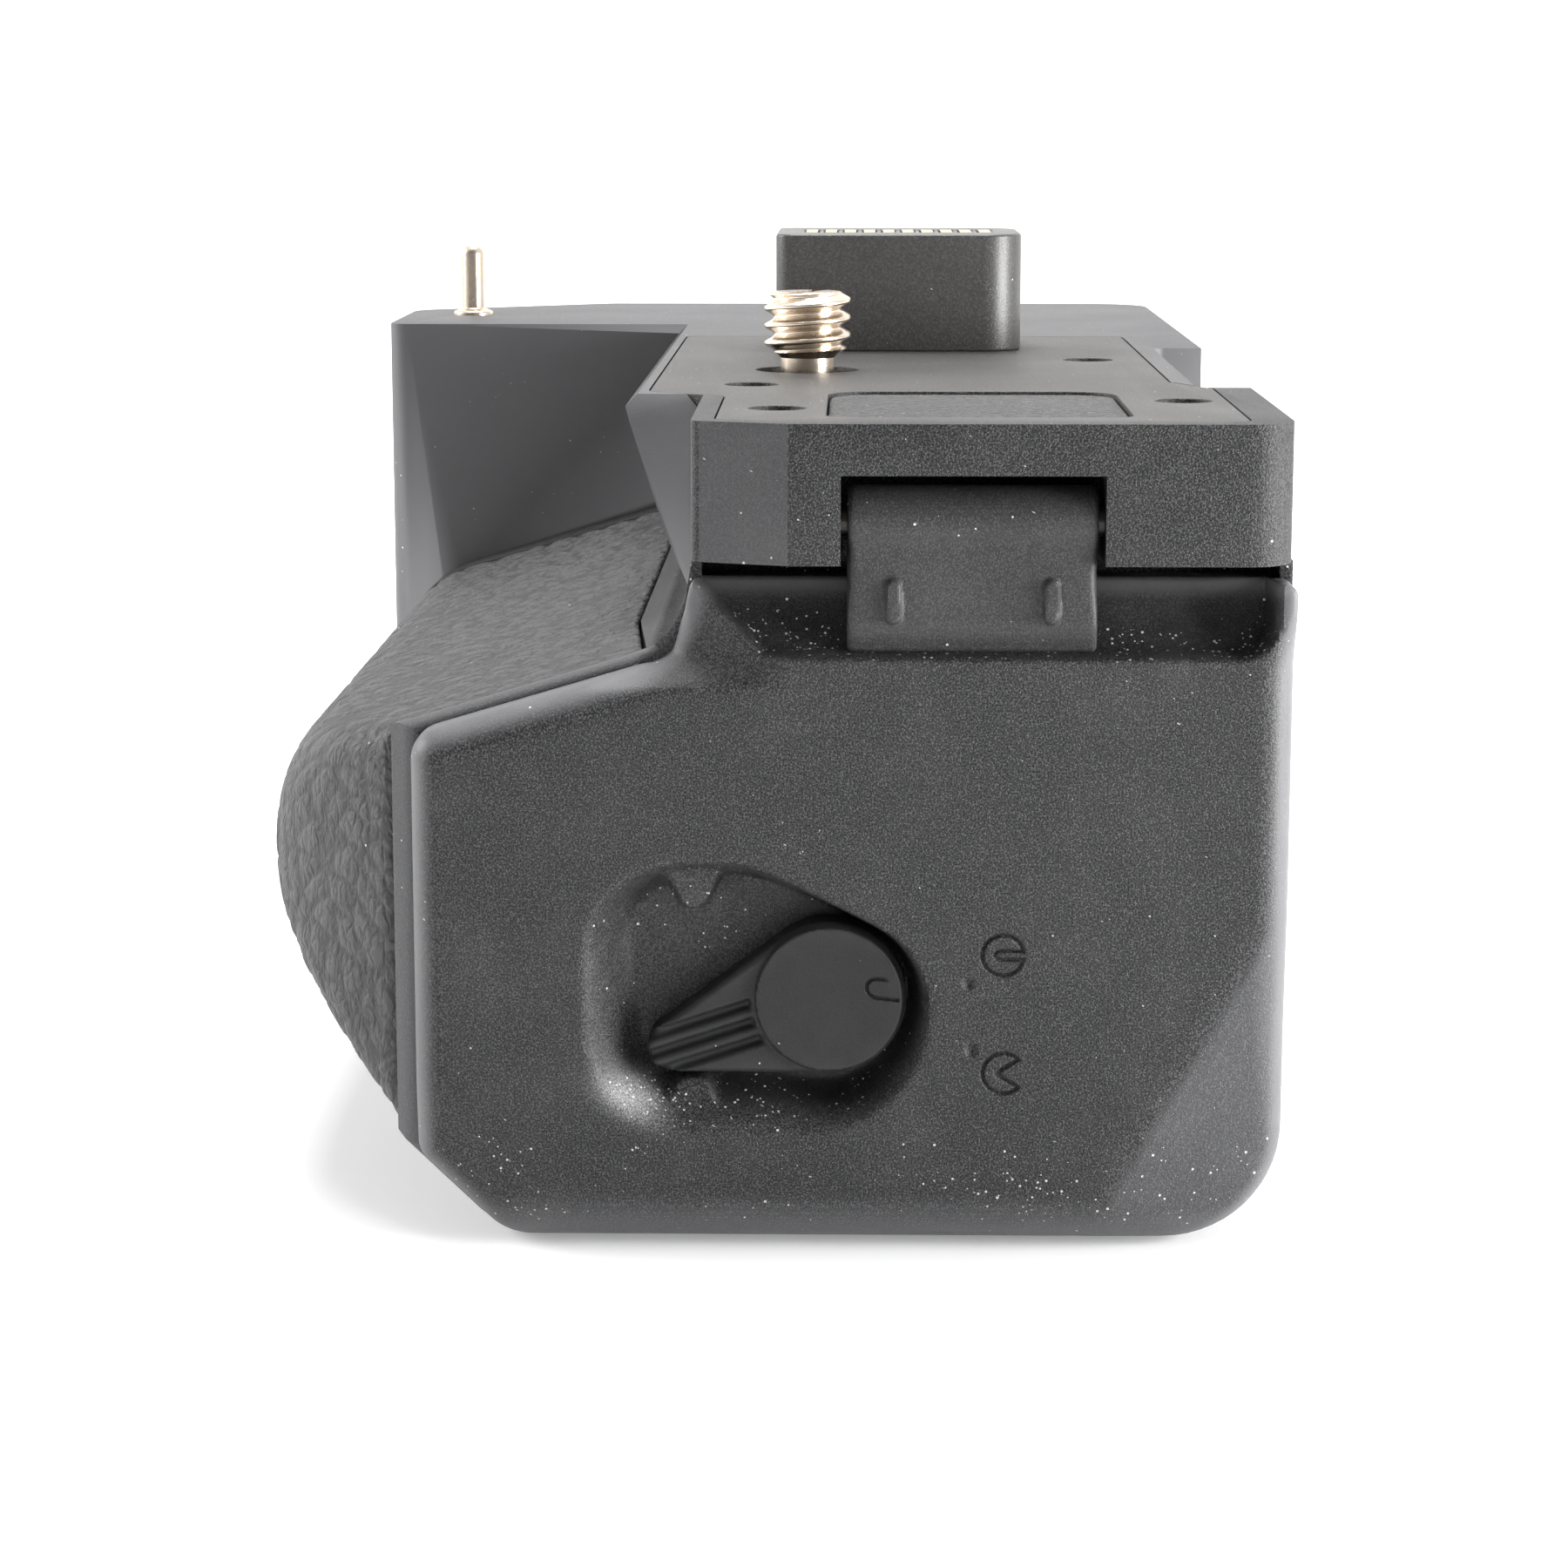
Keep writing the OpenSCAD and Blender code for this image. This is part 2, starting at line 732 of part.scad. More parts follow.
module locating_pin() {
    color(steel) translate(pin_at) {
        bar_z(seat_h - pin_sunk, seat_h, pin_root_r);
        bar_z(seat_h, seat_h + pin_rise - 0.6, pin_d / 2);
        translate([0, 0, seat_h + pin_rise - 0.6]) cylinder(r1 = pin_d / 2, r2 = pin_d / 2 - 0.5, h = 0.6);
    }
}

module front_pad() {
    color(leather) difference() {
        intersection() {
            grip_form(0);
            pad_zone(0);
        }
        grip_form(pad_t);
    }
}

module thumb_pad() {
    color(leather) along_y(rear - pad_t + 0.3, rear + 0.3) thumb_outline(0);
}

module battery_chamber() {
    color(fine_plastic) difference() {
        box([chamber_back - liner_t, chamber_y - chamber_w / 2 - liner_t, chamber_floor - liner_t],
            [pocket_x, chamber_y + chamber_w / 2 + liner_t, chamber_floor + chamber_h + liner_t]);
        box([chamber_back, chamber_y - chamber_w / 2, chamber_floor],
            [pocket_x + over, chamber_y + chamber_w / 2, chamber_floor + chamber_h]);
    }
}

// Rectangle round the chamber's mouth, grown by d
seal_w = 1.6;
module seal_outline(d) {
    translate([chamber_y - chamber_w / 2 - d, chamber_floor - d])
        square([chamber_w + 2 * d, chamber_h + 2 * d]);
}

module chamber_seal() {
    color(rubber) along_x(pocket_x, pocket_x + seal_t) difference() {
        seal_outline(seal_w);
        seal_outline(0);
    }
}

blade_count = 4;
blade_w = 1.6;
blade_pitch = 6;
blade_h = 9;
contact_block_w = 28;
contact_block_h = 14;
module contact_block() {
    color(rubber) difference() {
        translate([chamber_back, chamber_y, chamber_floor + chamber_h / 2])
            box([0, -contact_block_w / 2, -contact_block_h / 2],
                [contact_t, contact_block_w / 2, contact_block_h / 2]);
        blades(set_gap);
    }
}

// Contact blades that reach out of the contact block
module blades(gap) {
    for (i = [0 : blade_count - 1])
        translate([chamber_back, chamber_y + (i - (blade_count - 1) / 2) * blade_pitch,
                chamber_floor + chamber_h / 2])
            box([1 - gap, -blade_w / 2 - gap, -blade_h / 2 - gap],
                [contact_t + (gap > 0 ? over : blade_rise), blade_w / 2 + gap, blade_h / 2 + gap]);
}

module contact_blades() {
    color(gold) blades(0);
}

module main_board() {
    color(board_green) box([bay_far + board_inset, -bay_front + board_inset, bay_top - boss_l - board_t],
        [bay_near - board_inset, bay_rear - board_inset, bay_top - boss_l]);
}

module camera_screw() {
    color(steel) difference() {
        union() {
            bar_z(wheel_z - wheel_gap - journal_l, wheel_z + wheel_t, journal_r);
            bar_z(wheel_z + wheel_t, seat_h + screw_rise, neck_r);
            bar_z(seat_h + screw_rise - thread_l, seat_h + screw_rise, screw_d / 2);
        }
        box([-screw_d, -0.5, seat_h + screw_rise - 0.8], [screw_d, 0.5, seat_h + screw_rise + over]);
    }
}

knurl_count = 40;
module screw_wheel() {
    color(rubber) difference() {
        bar_z(wheel_z, wheel_z + wheel_t, wheel_r);
        bar_z(wheel_z - over, wheel_z + wheel_t + over, journal_r + set_gap / 5);
        for (i = [0 : knurl_count - 1])
            rotate([0, 0, 360 * i / knurl_count]) translate([wheel_r + 0.2, 0, 0])
                bar_z(wheel_z - over, wheel_z + wheel_t + over, 0.6);
    }
}

// Outline of the scoop across the top of the door: slanted at the front, round at the rear
module scoop_outline() {
    ledge = shoulder_z - 0.5;
    polygon(rounded([
        [rear - 1.2, ledge, 2.5], [rear - 1.2, block_z + 4],
        [-block_front + 0.2, block_z + 4], [-block_front + 0.2, lip_z - 0.2], [-2.2, ledge, 0.8]
    ]));
}

// Lever recess: wide and soft at the face, tighter at its floor
module lever_recess() {
    hull() {
        along_x(door_end, door_end + recess_lip) recess_outline(lever_r + 1.6, lever_reach - 1.5, 6.1);
        along_x(recess_x, recess_x + recess_lip) recess_outline(lever_r + 1.3, lever_reach - 2.7, 5.1);
    }
}
recess_lip = 0.2;
recess_spread = [-3, 3.3];
module recess_outline(r, reach, end_r) {
    translate([lever_y, lever_z]) circle(r, $fn = hull_fn);
    for (dz = recess_spread)
        translate([lever_y - reach, lever_z + dz]) circle(end_r, $fn = hull_fn);
}

// Stop fin in the lever recess, pointing towards the lever
module stop_fin(z_root, z_tip, root_w, tip_w) {
    along_x(recess_x - 0.1, recess_x + lever_t)
        polygon([
            [lever_y - 8.7 - root_w / 2, z_root], [lever_y - 8.7 + root_w / 2, z_root],
            [lever_y - 8.7 + tip_w / 2, z_tip], [lever_y - 8.7 - tip_w / 2, z_tip]
        ]);
}

door_edge_r = 2;
door_foot_r = 3;
module battery_door() {
    color(fine_plastic) difference() {
        union() {
            difference() {
                union() {
                    door_skin();
                    along_x(plug_x, part_x + over) plug_outline(0);
                    box([lip_x, -lip_front, lip_foot], [part_x + over, lip_rear, lip_z]);
                }
                intersection() {
                    translate([door_end + 2, 0, lip_z + 0.4])
                        bar_y(-block_front - over, rear + over, scoop_r);
                    along_x(lip_x - over, door_end + over) scoop_outline();
                }
                lever_recess();
                corner_facet();
            }
            hinge_arm();
            stop_fin(lever_z - 8, lever_z - lever_r - move_gap, 4.2, 2);
            stop_fin(lever_z + 8.4, lever_z + 5, 4.4, 1.6);
        }
        translate([hinge_x, arm_y, hinge_z]) bar_y(-arm_w, arm_w, hinge_pin_d / 2 + run_fit);
        translate([0, lever_y, lever_z]) bar_x(plug_x - over, door_end, shaft_r + run_fit);
        latch_cavity();
        for (p = cover_screw_at)
            translate([0, p.x, p.y])
                bar_x(plug_x - over, plug_x + screw_shank_l - 1, screw_shank_r + set_gap / 2);
    }
}

// Outer skin: the door's outline, with its upright and lower edges rounded over
module door_skin() {
    intersection() {
        along_x(part_x, door_end) polygon(rounded(door_corners));
        along_z(-over, seat_h) polygon(rounded([
            [part_x - over, rear + over], [part_x - over, -door_front - over],
            [part_x, -door_front - over], [part_x, -door_front],
            [door_end, -door_front + 0.5, door_edge_r], [door_end, rear, door_edge_r], [part_x, rear]
        ]));
        along_y(-door_front - over, rear + over) polygon(rounded([
            [part_x - over, base_z], [door_end, base_z, door_foot_r],
            [door_end, seat_h], [part_x - over, seat_h]
        ]));
    }
}

// Hinge arm: a strap that leaves the scoop's floor and ends in the barrel, with two short ribs
rib_w = 1.2;
rib_in = 2.9;
module hinge_arm() {
    arm_x = hinge_x + barrel_r;
    translate([0, arm_y, 0]) {
        translate([hinge_x, 0, hinge_z]) bar_y(-arm_w / 2, arm_w / 2, barrel_r);
        box([hinge_x - barrel_r + 0.3, -arm_w / 2, shoulder_z - 2], [arm_x, arm_w / 2, hinge_z]);
        for (s = [-1, 1])
            box([arm_x - 0.2, s * (arm_w / 2 - rib_in) - rib_w / 2, shoulder_z + 1.8],
                [arm_x + 0.4, s * (arm_w / 2 - rib_in) + rib_w / 2, shoulder_z + 4.4]);
    }
}

// Shallow slanted facet at the lower rear corner of the door
facet_from = [20.5, 5];
facet_to = [28.4, 19];
facet_tilt = 12;
module corner_facet() {
    reach = 40;
    translate([door_end, facet_from.x, facet_from.y])
        rotate([atan2(facet_to.y - facet_from.y, facet_to.x - facet_from.x), 0, 0])
            rotate([0, facet_tilt, 0]) translate([0, -reach, -reach]) cube([skin_t, 2 * reach, reach]);
}

// Room for the crank and the bolt in the back of the door's plug
module latch_cavity() {
    translate([0, lever_y, lever_z])
        bar_x(plug_x - over, plug_x + latch_depth, crank_r + crank_pin_r + 0.5);
    box([plug_x - over, -door_front, bolt_z - bolt_h / 2 - move_gap],
        [plug_x + latch_depth, lever_y + 7, bolt_z + bolt_h / 2 + move_gap]);
}

module door_hinge_pin() {
    color(steel) translate([hinge_x, arm_y, hinge_z])
        bar_y(-arm_w / 2 - hinge_hold, arm_w / 2 + hinge_hold, hinge_pin_d / 2);
}

cover_screw_at = [
    for (y = [-plug_front + 4, rear - plug_inset - 4])
        for (z = [base_z + plug_inset + 4, brow_h - plug_inset - 2]) [y, z]
];
module door_inner_cover() {
    color(rubber) difference() {
        along_x(cover_x, plug_x) intersection() {
            plug_outline(0);
            translate([-door_front, 0]) square([door_front + rear, brow_h]);
        }
        for (p = cover_screw_at)
            translate([0, p.x, p.y]) {
                bar_x(cover_x - over, cover_x + cover_head_t, screw_head_r + set_gap);
                bar_x(cover_x, plug_x + over, screw_shank_r + set_gap / 2);
            }
    }
}

// Screws that hold the inner cover, with their heads let in flush
cover_head_t = 0.7;
module door_cover_screws() {
    color(steel) for (p = cover_screw_at)
        translate([0, p.x, p.y]) {
            bar_x(cover_x, cover_x + cover_head_t, screw_head_r);
            bar_x(cover_x + cover_head_t, plug_x + screw_shank_l - 1.2, screw_shank_r);
        }
}

// Lever outline: a disc that tapers to a small round tip; its lower edge lies level
tip_turn = 180 + asin((lever_r - lever_tip_r) / lever_reach);
tip_side = acos((lever_r - lever_tip_r) / lever_reach);
lever_x = recess_x + move_gap;
disc_step = 0.3;
module lever_outline() {
    polygon(concat(
        arc(lever_reach * [cos(tip_turn), sin(tip_turn)], lever_tip_r,
            tip_turn - tip_side, tip_turn + tip_side, 12),
        arc([0, 0], lever_r, tip_turn + tip_side, tip_turn + 360 - tip_side, 36)
    ));
}

groove_count = 3;
groove_w = 0.7;
groove_pitch = 1.35;
module latch_lever() {
    color(fine_plastic) translate([0, lever_y, lever_z]) difference() {
        union() {
            along_x(lever_x, lever_x + lever_t - 0.4) lever_outline();
            bar_x(lever_x, lever_x + lever_t, lever_r - disc_step);
        }
        bar_x(lever_x - over, lever_x + lever_t - 1.2, shaft_r + set_gap / 5);
        rotate([tip_turn - 180, 0, 0])
            for (i = [0 : groove_count - 1])
                translate([0, 0, (i - (groove_count - 1) / 2) * groove_pitch])
                    box([lever_x + lever_t - 0.9, -lever_reach - lever_tip_r, -groove_w / 2],
                        [lever_x + lever_t + over, -lever_r, groove_w / 2]);
    }
}

module latch_shaft() {
    color(steel) translate([0, lever_y, lever_z]) {
        bar_x(crank_x, lever_x + lever_t - 1.3, shaft_r);
        bar_x(crank_x, crank_x + crank_t, crank_r + crank_pin_r + 0.2);
        rotate([lever_travel / 2, 0, 0]) translate([0, 0, -crank_r]) bar_x(bolt_x, crank_x, crank_pin_r);
    }
}

module latch_bolt() {
    pin_y = lever_y + crank_r * sin(lever_travel / 2);
    slot_r = crank_pin_r + 0.12;
    color(steel) difference() {
        box([bolt_x, -plug_front + move_gap, bolt_z - bolt_h / 2],
            [bolt_x + bolt_t, pin_y + 3, bolt_z + bolt_h / 2]);
        for (dz = [-0.6, 0.6])
            translate([0, pin_y, lever_z - crank_r * cos(lever_travel / 4) + dz])
                bar_x(bolt_x - over, bolt_x + bolt_t + over, slot_r);
        translate([0, pin_y - slot_r, lever_z - crank_r * cos(lever_travel / 4) - 0.6])
            box([bolt_x - over, 0, 0], [bolt_x + bolt_t + over, 2 * slot_r, 1.2]);
    }
}

module shutter_button() {
    color(rubber) on_facet() intersection() {
        bar_z(shutter_proud - shutter_l, shutter_proud, shutter_r);
        translate([0, 0, shutter_proud - 16]) sphere(16, $fn = 96);
    }
}

module shutter_collar() {
    color(fine_plastic) on_facet() difference() {
        union() {
            bar_z(-collar_sunk, collar_t - collar_sunk, collar_r);
            translate([0, 0, -collar_sunk])
                box([-1.2, collar_r - 1.6, 0.6], [1.2, collar_r + 1, collar_t + 0.8]);
        }
        bar_z(-over, collar_t + over, shutter_r + move_gap);
    }
}

// Ribbed dial that turns about X
rib_count = 30;
module dial() {
    difference() {
        bar_x(-dial_t / 2, dial_t / 2, dial_r);
        bar_x(-dial_t, dial_t, dial_axle_r + run_fit);
        for (i = [0 : rib_count - 1])
            rotate([360 * i / rib_count, 0, 0]) translate([0, dial_r + 0.1, 0])
                bar_x(-dial_t, dial_t, 0.45);
    }
}

// Axle of a dial, held in the shell at both ends
module dial_axle() {
    bar_x(-dial_t / 2 - dial_room - dial_hold, dial_t / 2 + dial_room + dial_hold, dial_axle_r);
}

module front_dial() {
    color(rubber) translate([front_dial_x, front_dial_y, front_dial_h]) dial();
}

module front_dial_axle() {
    color(steel) translate([front_dial_x, front_dial_y, front_dial_h]) dial_axle();
}

module rear_dial() {
    color(rubber) translate([rear_dial_x, rear_dial_y, rear_dial_h]) dial();
}

module rear_dial_axle() {
    color(steel) translate([rear_dial_x, rear_dial_y, rear_dial_h]) dial_axle();
}

// Push button in the rear wall, with a shallow domed face
module rear_button(p) {
    translate([p.x, rear + button_proud, p.y]) intersection() {
        bar_y(-button_l, 0, button_r);
        translate([0, -14, 0]) sphere(14, $fn = 96);
    }
}

module focus_button() {
    color(fine_plastic) rear_button(focus_at);
}

module function_button() {
    color(fine_plastic) rear_button(function_at);
}

// Selector: a cap whose stem tilts on a cross pin in a ring, and the ring on trunnions in the shell
selector_stem_r = 2.2;
ring_t = 2.4;
cap_proud = 1;
selector_cap_t = 2.8;
dish_r = 13;
dish_d = 0.6;
cross_pin_l = selector_r - 0.4;
module selector_ring() {
    color(steel) translate([selector_at.x, rear - selector_pivot, selector_at.y]) difference() {
        union() {
            bar_y(-ring_t / 2, ring_t / 2, selector_r + 0.6);
            bar_x(-trunnion_l + set_gap, trunnion_l - set_gap, trunnion_r);
        }
        bar_y(-ring_t, ring_t, selector_stem_r + 0.7);
        bar_z(-cross_pin_l, cross_pin_l, trunnion_r + run_fit);
    }
}

module selector_cap() {
    color(rubber) translate([selector_at.x, rear - selector_pivot, selector_at.y]) {
        bar_y(-ring_t / 2, selector_pivot + cap_proud - selector_cap_t + over, selector_stem_r);
        bar_z(-cross_pin_l + set_gap, cross_pin_l - set_gap, trunnion_r);
        difference() {
            bar_y(selector_pivot + cap_proud - selector_cap_t, selector_pivot + cap_proud, selector_r);
            translate([0, selector_pivot + cap_proud + dish_r - dish_d, 0]) sphere(dish_r, $fn = 96);
        }
    }
}

main_shell();
base_cover();
base_screws();
tripod_bush();
top_plate();
top_plate_screws();
connector_block();
connector_contacts();
contact_cap();
locating_pin();
front_pad();
thumb_pad();
battery_chamber();
chamber_seal();
contact_block();
contact_blades();
main_board();
camera_screw();
screw_wheel();
battery_door();
door_hinge_pin();
door_inner_cover();
door_cover_screws();
latch_lever();
latch_shaft();
latch_bolt();
shutter_button();
shutter_collar();
front_dial();
front_dial_axle();
rear_dial();
rear_dial_axle();
focus_button();
function_button();
selector_ring();
selector_cap();
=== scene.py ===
"""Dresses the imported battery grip: moulded door, latch, hand grip, camera seat, controls and studio."""

import itertools
import json
import logging
import math
from dataclasses import dataclass, field
from enum import Enum
from typing import Callable, Iterable, Sequence

import bmesh
import bpy
import numpy as np
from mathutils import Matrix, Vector


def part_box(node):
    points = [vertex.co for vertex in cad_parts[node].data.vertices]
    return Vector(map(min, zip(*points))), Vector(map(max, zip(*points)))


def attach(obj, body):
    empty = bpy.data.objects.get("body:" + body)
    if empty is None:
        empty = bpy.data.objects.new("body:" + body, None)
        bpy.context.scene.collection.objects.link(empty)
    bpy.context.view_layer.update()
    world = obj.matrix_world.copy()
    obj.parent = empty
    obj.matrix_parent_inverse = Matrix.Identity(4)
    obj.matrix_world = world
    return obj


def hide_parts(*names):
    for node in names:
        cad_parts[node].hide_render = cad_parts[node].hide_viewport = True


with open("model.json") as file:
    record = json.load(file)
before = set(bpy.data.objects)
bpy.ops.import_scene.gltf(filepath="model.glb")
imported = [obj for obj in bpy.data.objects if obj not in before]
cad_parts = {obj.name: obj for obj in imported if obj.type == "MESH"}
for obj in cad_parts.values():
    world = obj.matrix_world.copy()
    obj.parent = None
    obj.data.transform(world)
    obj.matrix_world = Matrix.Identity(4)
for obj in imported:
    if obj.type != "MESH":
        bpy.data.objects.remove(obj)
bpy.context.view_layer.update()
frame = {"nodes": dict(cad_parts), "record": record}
LOG = logging.getLogger("battery_grip")
MM = 0.001
Array = np.ndarray
Field = Callable[[Array, Array], Array]
Socket = bpy.types.NodeSocket
Colour = tuple[float, float, float, float]
Layers = tuple[Socket, Socket, Socket]


def linear(value: float) -> float:
    """Turns a display level from 0 to 255 into scene light."""
    v = value / 255.0
    return v / 12.92 if v <= 0.04045 else ((v + 0.055) / 1.055) ** 2.4


def ease(low: float, high: float, value: Array) -> Array:
    """Smooth step: 0 at low, 1 at high, level at both ends.

    Args:
        low: Where the step starts.
        high: Where it ends; may lie below low.
        value: Places to work it out at.

    Returns:
        3 t^2 - 2 t^3, with t the clipped share of the way.
    """
    t = np.clip((value - low) / (high - low), 0.0, 1.0)
    return t * t * (3.0 - 2.0 * t)


def soft_max(a: Array, b: Array, width: float | Array) -> Array:
    """Larger of two fields, rounded over where they differ by less than width.

    Args:
        a: First field.
        b: Second field.
        width: Width of the rounding; it adds a quarter of this at the crease.

    Returns:
        max(a, b) plus (width - |a - b|)^2 / (4 width) inside the rounding.
    """
    gap = np.clip(width - np.abs(a - b), 0.0, None)
    return np.maximum(a, b) + gap * gap / (4.0 * width)


def soft_min(a: Array, b: Array, width: float | Array) -> Array:
    """Smaller of two fields, rounded as soft_max is."""
    return -soft_max(-a, -b, width)


def arc(before: Array, here: Array, ahead: Array, r: float, steps: Callable[[float], int]) -> Array:
    """Arc that touches both sides of a corner.

    Args:
        before: Corner before this one.
        here: This corner.
        ahead: Corner after it.
        r: Radius; with none the corner stays sharp.
        steps: Number of points for a turn in degrees.

    Returns:
        Points of the arc, one row each.
    """
    if r <= 0.0:
        return here[None]
    u = (before - here) / np.linalg.norm(before - here)
    w = (ahead - here) / np.linalg.norm(ahead - here)
    half = math.acos(float(np.clip(u @ w, -1.0, 1.0))) / 2.0
    mid = here + (u + w) / np.linalg.norm(u + w) * r / math.sin(half)
    x, y = here + u * r / math.tan(half) - mid
    turn = math.copysign(math.pi - 2.0 * half, u[1] * w[0] - u[0] * w[1])
    a = np.linspace(0.0, turn, steps(abs(math.degrees(turn))))
    return mid + np.stack([x * np.cos(a) - y * np.sin(a), x * np.sin(a) + y * np.cos(a)], 1)


class Facing(Enum):
    """Which way a relief looks: the two directions in its plane, then its height."""

    DOOR = (1, 2, 0)
    UP = (0, 1, 2)

    def place(self, flat: Array) -> Array:
        """Puts (first, second, height) columns on the X, Y and Z axes."""
        out = np.empty_like(flat)
        out[:, list(self.value)] = flat
        return out


class Outline:
    """Closed outline in a plane: a loop of points, run anticlockwise."""

    def __init__(self, loop: Array) -> None:
        """Keeps the loop, and the edges and outward normals that follow from it.

        Args:
            loop: Points of the outline, one row each.
        """
        after = np.roll(loop, -1, 0)
        if np.sum(loop[:, 0] * after[:, 1] - after[:, 0] * loop[:, 1]) < 0.0:
            loop = loop[::-1].copy()
            after = np.roll(loop, -1, 0)
        self.loop = loop
        self.after = after
        self.edge = after - loop
        self.span = np.einsum("ij,ij->i", self.edge, self.edge)
        self.normal = np.stack([self.edge[:, 1], -self.edge[:, 0]], 1) / np.sqrt(self.span)[:, None]

    @classmethod
    def rounded(cls, corners: Sequence[tuple[float, float, float]], step: float = 6.0) -> "Outline":
        """Polygon whose corners are arcs that touch both sides.

        Args:
            corners: (first, second, radius) of each corner.
            step: Largest turn between two points of an arc, in degrees.

        Returns:
            The outline.
        """
        flat = np.array([c[:2] for c in corners], float)
        around = zip(np.roll(flat, 1, 0), flat, np.roll(flat, -1, 0), corners)
        return cls(np.concatenate([arc(before, here, ahead, r, lambda turn: max(3, math.ceil(turn / step)))
                                   for before, here, ahead, (_, _, r) in around]))

    @classmethod
    def disc(cls, middle: tuple[float, float], r: float, steps: int = 72) -> "Outline":
        """Circle about a middle."""
        a = np.linspace(0.0, 2.0 * np.pi, steps, endpoint=False)
        return cls(np.stack([middle[0] + r * np.cos(a), middle[1] + r * np.sin(a)], 1))

    def nearest(self, points: Array) -> tuple[Array, Array, Array]:
        """Distance to the outline, below zero inside.

        Args:
            points: Places, one row each.

        Returns:
            Signed distance, nearest place on the outline and the outward normal there.
        """
        batches = max(1, len(points) * len(self.loop) // 2000000)
        parts = [self._nearest(p) for p in np.array_split(points, batches)]
        return tuple(np.concatenate(c) for c in zip(*parts))

    def _nearest(self, points: Array) -> tuple[Array, Array, Array]:
        """One batch of nearest."""
        away = points[:, None] - self.loop[None]
        t = np.clip(np.einsum("pij,ij->pi", away, self.edge) / self.span, 0.0, 1.0)
        gap = away - t[..., None] * self.edge[None]
        far = np.einsum("pij,pij->pi", gap, gap)
        k = np.argmin(far, 1)
        row = np.arange(len(points))
        foot = points - gap[row, k]
        y = points[:, 1:2]
        rise = np.where(self.edge[:, 1] == 0.0, 1.0, self.edge[:, 1])
        crossed = ((self.loop[:, 1] > y) != (self.after[:, 1] > y)) & (
            points[:, 0:1] < self.loop[:, 0] + self.edge[:, 0] * (y - self.loop[:, 1]) / rise)
        sign = np.where(crossed.sum(1) % 2 == 1, -1.0, 1.0)
        return sign * np.sqrt(far[row, k]), foot, self.normal[k]

    def signed(self, u: Array, v: Array) -> Array:
        """Signed distance at the places u, v, in their shape."""
        return self.nearest(np.stack([u.ravel(), v.ravel()], 1))[0].reshape(u.shape)


@dataclass
class Surface:
    """Points in millimetres and the faces between them."""

    points: Array
    faces: Array
    paint: dict[str, Array] = field(default_factory=dict)

    def moved(self, shift: Sequence[float]) -> "Surface":
        """The same surface, shifted."""
        return Surface(self.points + np.asarray(shift, float), self.faces, self.paint)

    def flipped(self) -> "Surface":
        """The same surface with its faces turned over."""
        return Surface(self.points, self.faces[:, ::-1], self.paint)


def join(parts: Iterable[Surface]) -> Surface:
    """Puts several surfaces into one.

    Args:
        parts: Surfaces; their faces must all have four corners.

    Returns:
        One surface with the points and faces of all.
    """
    parts = list(parts)
    start = np.cumsum([0] + [len(p.points) for p in parts[:-1]])
    return Surface(np.concatenate([p.points for p in parts]),
                   np.concatenate([p.faces + s for p, s in zip(parts, start)]))


def sheet(grid: Array, closed: bool = False) -> Surface:
    """Surface over a grid of points.

    Args:
        grid: Points as (first, second, xyz); second runs anticlockwise seen against first's way.
        closed: Whether the last column joins the first.

    Returns:
        The surface, its faces turned to (along first) x (along second).
    """
    m, n = grid.shape[:2]
    i, j = np.meshgrid(np.arange(m - 1), np.arange(n if closed else n - 1), indexing="ij")
    j2 = (j + 1) % n
    quads = [i * n + j, (i + 1) * n + j, (i + 1) * n + j2, i * n + j2]
    return Surface(grid.reshape(-1, 3), np.stack(quads, -1).reshape(-1, 4))


def pebbles(u: Array, v: Array) -> Array:
    """How far each place lies inside its pebble.

    That is the distance to the second nearest seed less that to the nearest.
    Every unit square of the plane holds one seed, at a place drawn from the sine of its own corner.

    Args:
        u: First coordinate, in pebbles.
        v: Second coordinate, in pebbles.

    Returns:
        0 in the creases, more towards the middle of a pebble.
    """
    first, second = np.full(u.shape, 9.0), np.full(u.shape, 9.0)
    for i, j in itertools.product((-1, 0, 1), repeat=2):
        cu, cv = np.floor(u) + i, np.floor(v) + j
        seed_u = (np.sin(cu * 127.1 + cv * 311.7) * 43758.5) % 1.0
        seed_v = (np.sin(cu * 269.5 + cv * 183.3) * 43758.5) % 1.0
        d = np.hypot(cu + seed_u - u, cv + seed_v - v)
        second = np.minimum(second, np.maximum(first, d))
        first = np.minimum(first, d)
    return second - first


def turned(profile: Sequence[tuple[float, float]], steps: int = 64,
           ribs: Callable[[Array, Array], Array] | None = None) -> Surface:
    """Profile carried round the Z axis.

    A point at radius r and height h goes to (r cos a, r sin a, h); ribs changes r by angle and height.

    Args:
        profile: (radius, height), from the lower axis point out and up to the upper one.
        steps: Points round the axis.
        ribs: Gives what is added to the radius at (angle, height).

    Returns:
        The surface, closed round the axis.
    """
    p = np.array(profile, float)
    a = np.linspace(0.0, 2.0 * np.pi, steps, endpoint=False)[None, :]
    r, h = np.broadcast_to(p[:, :1], (len(p), steps)), np.broadcast_to(p[:, 1:], (len(p), steps))
    if ribs is not None:
        r = r + ribs(np.broadcast_to(a, r.shape), h)
    grid = np.stack([r * np.cos(a), r * np.sin(a), h], -1)
    return sheet(grid, closed=True).flipped()


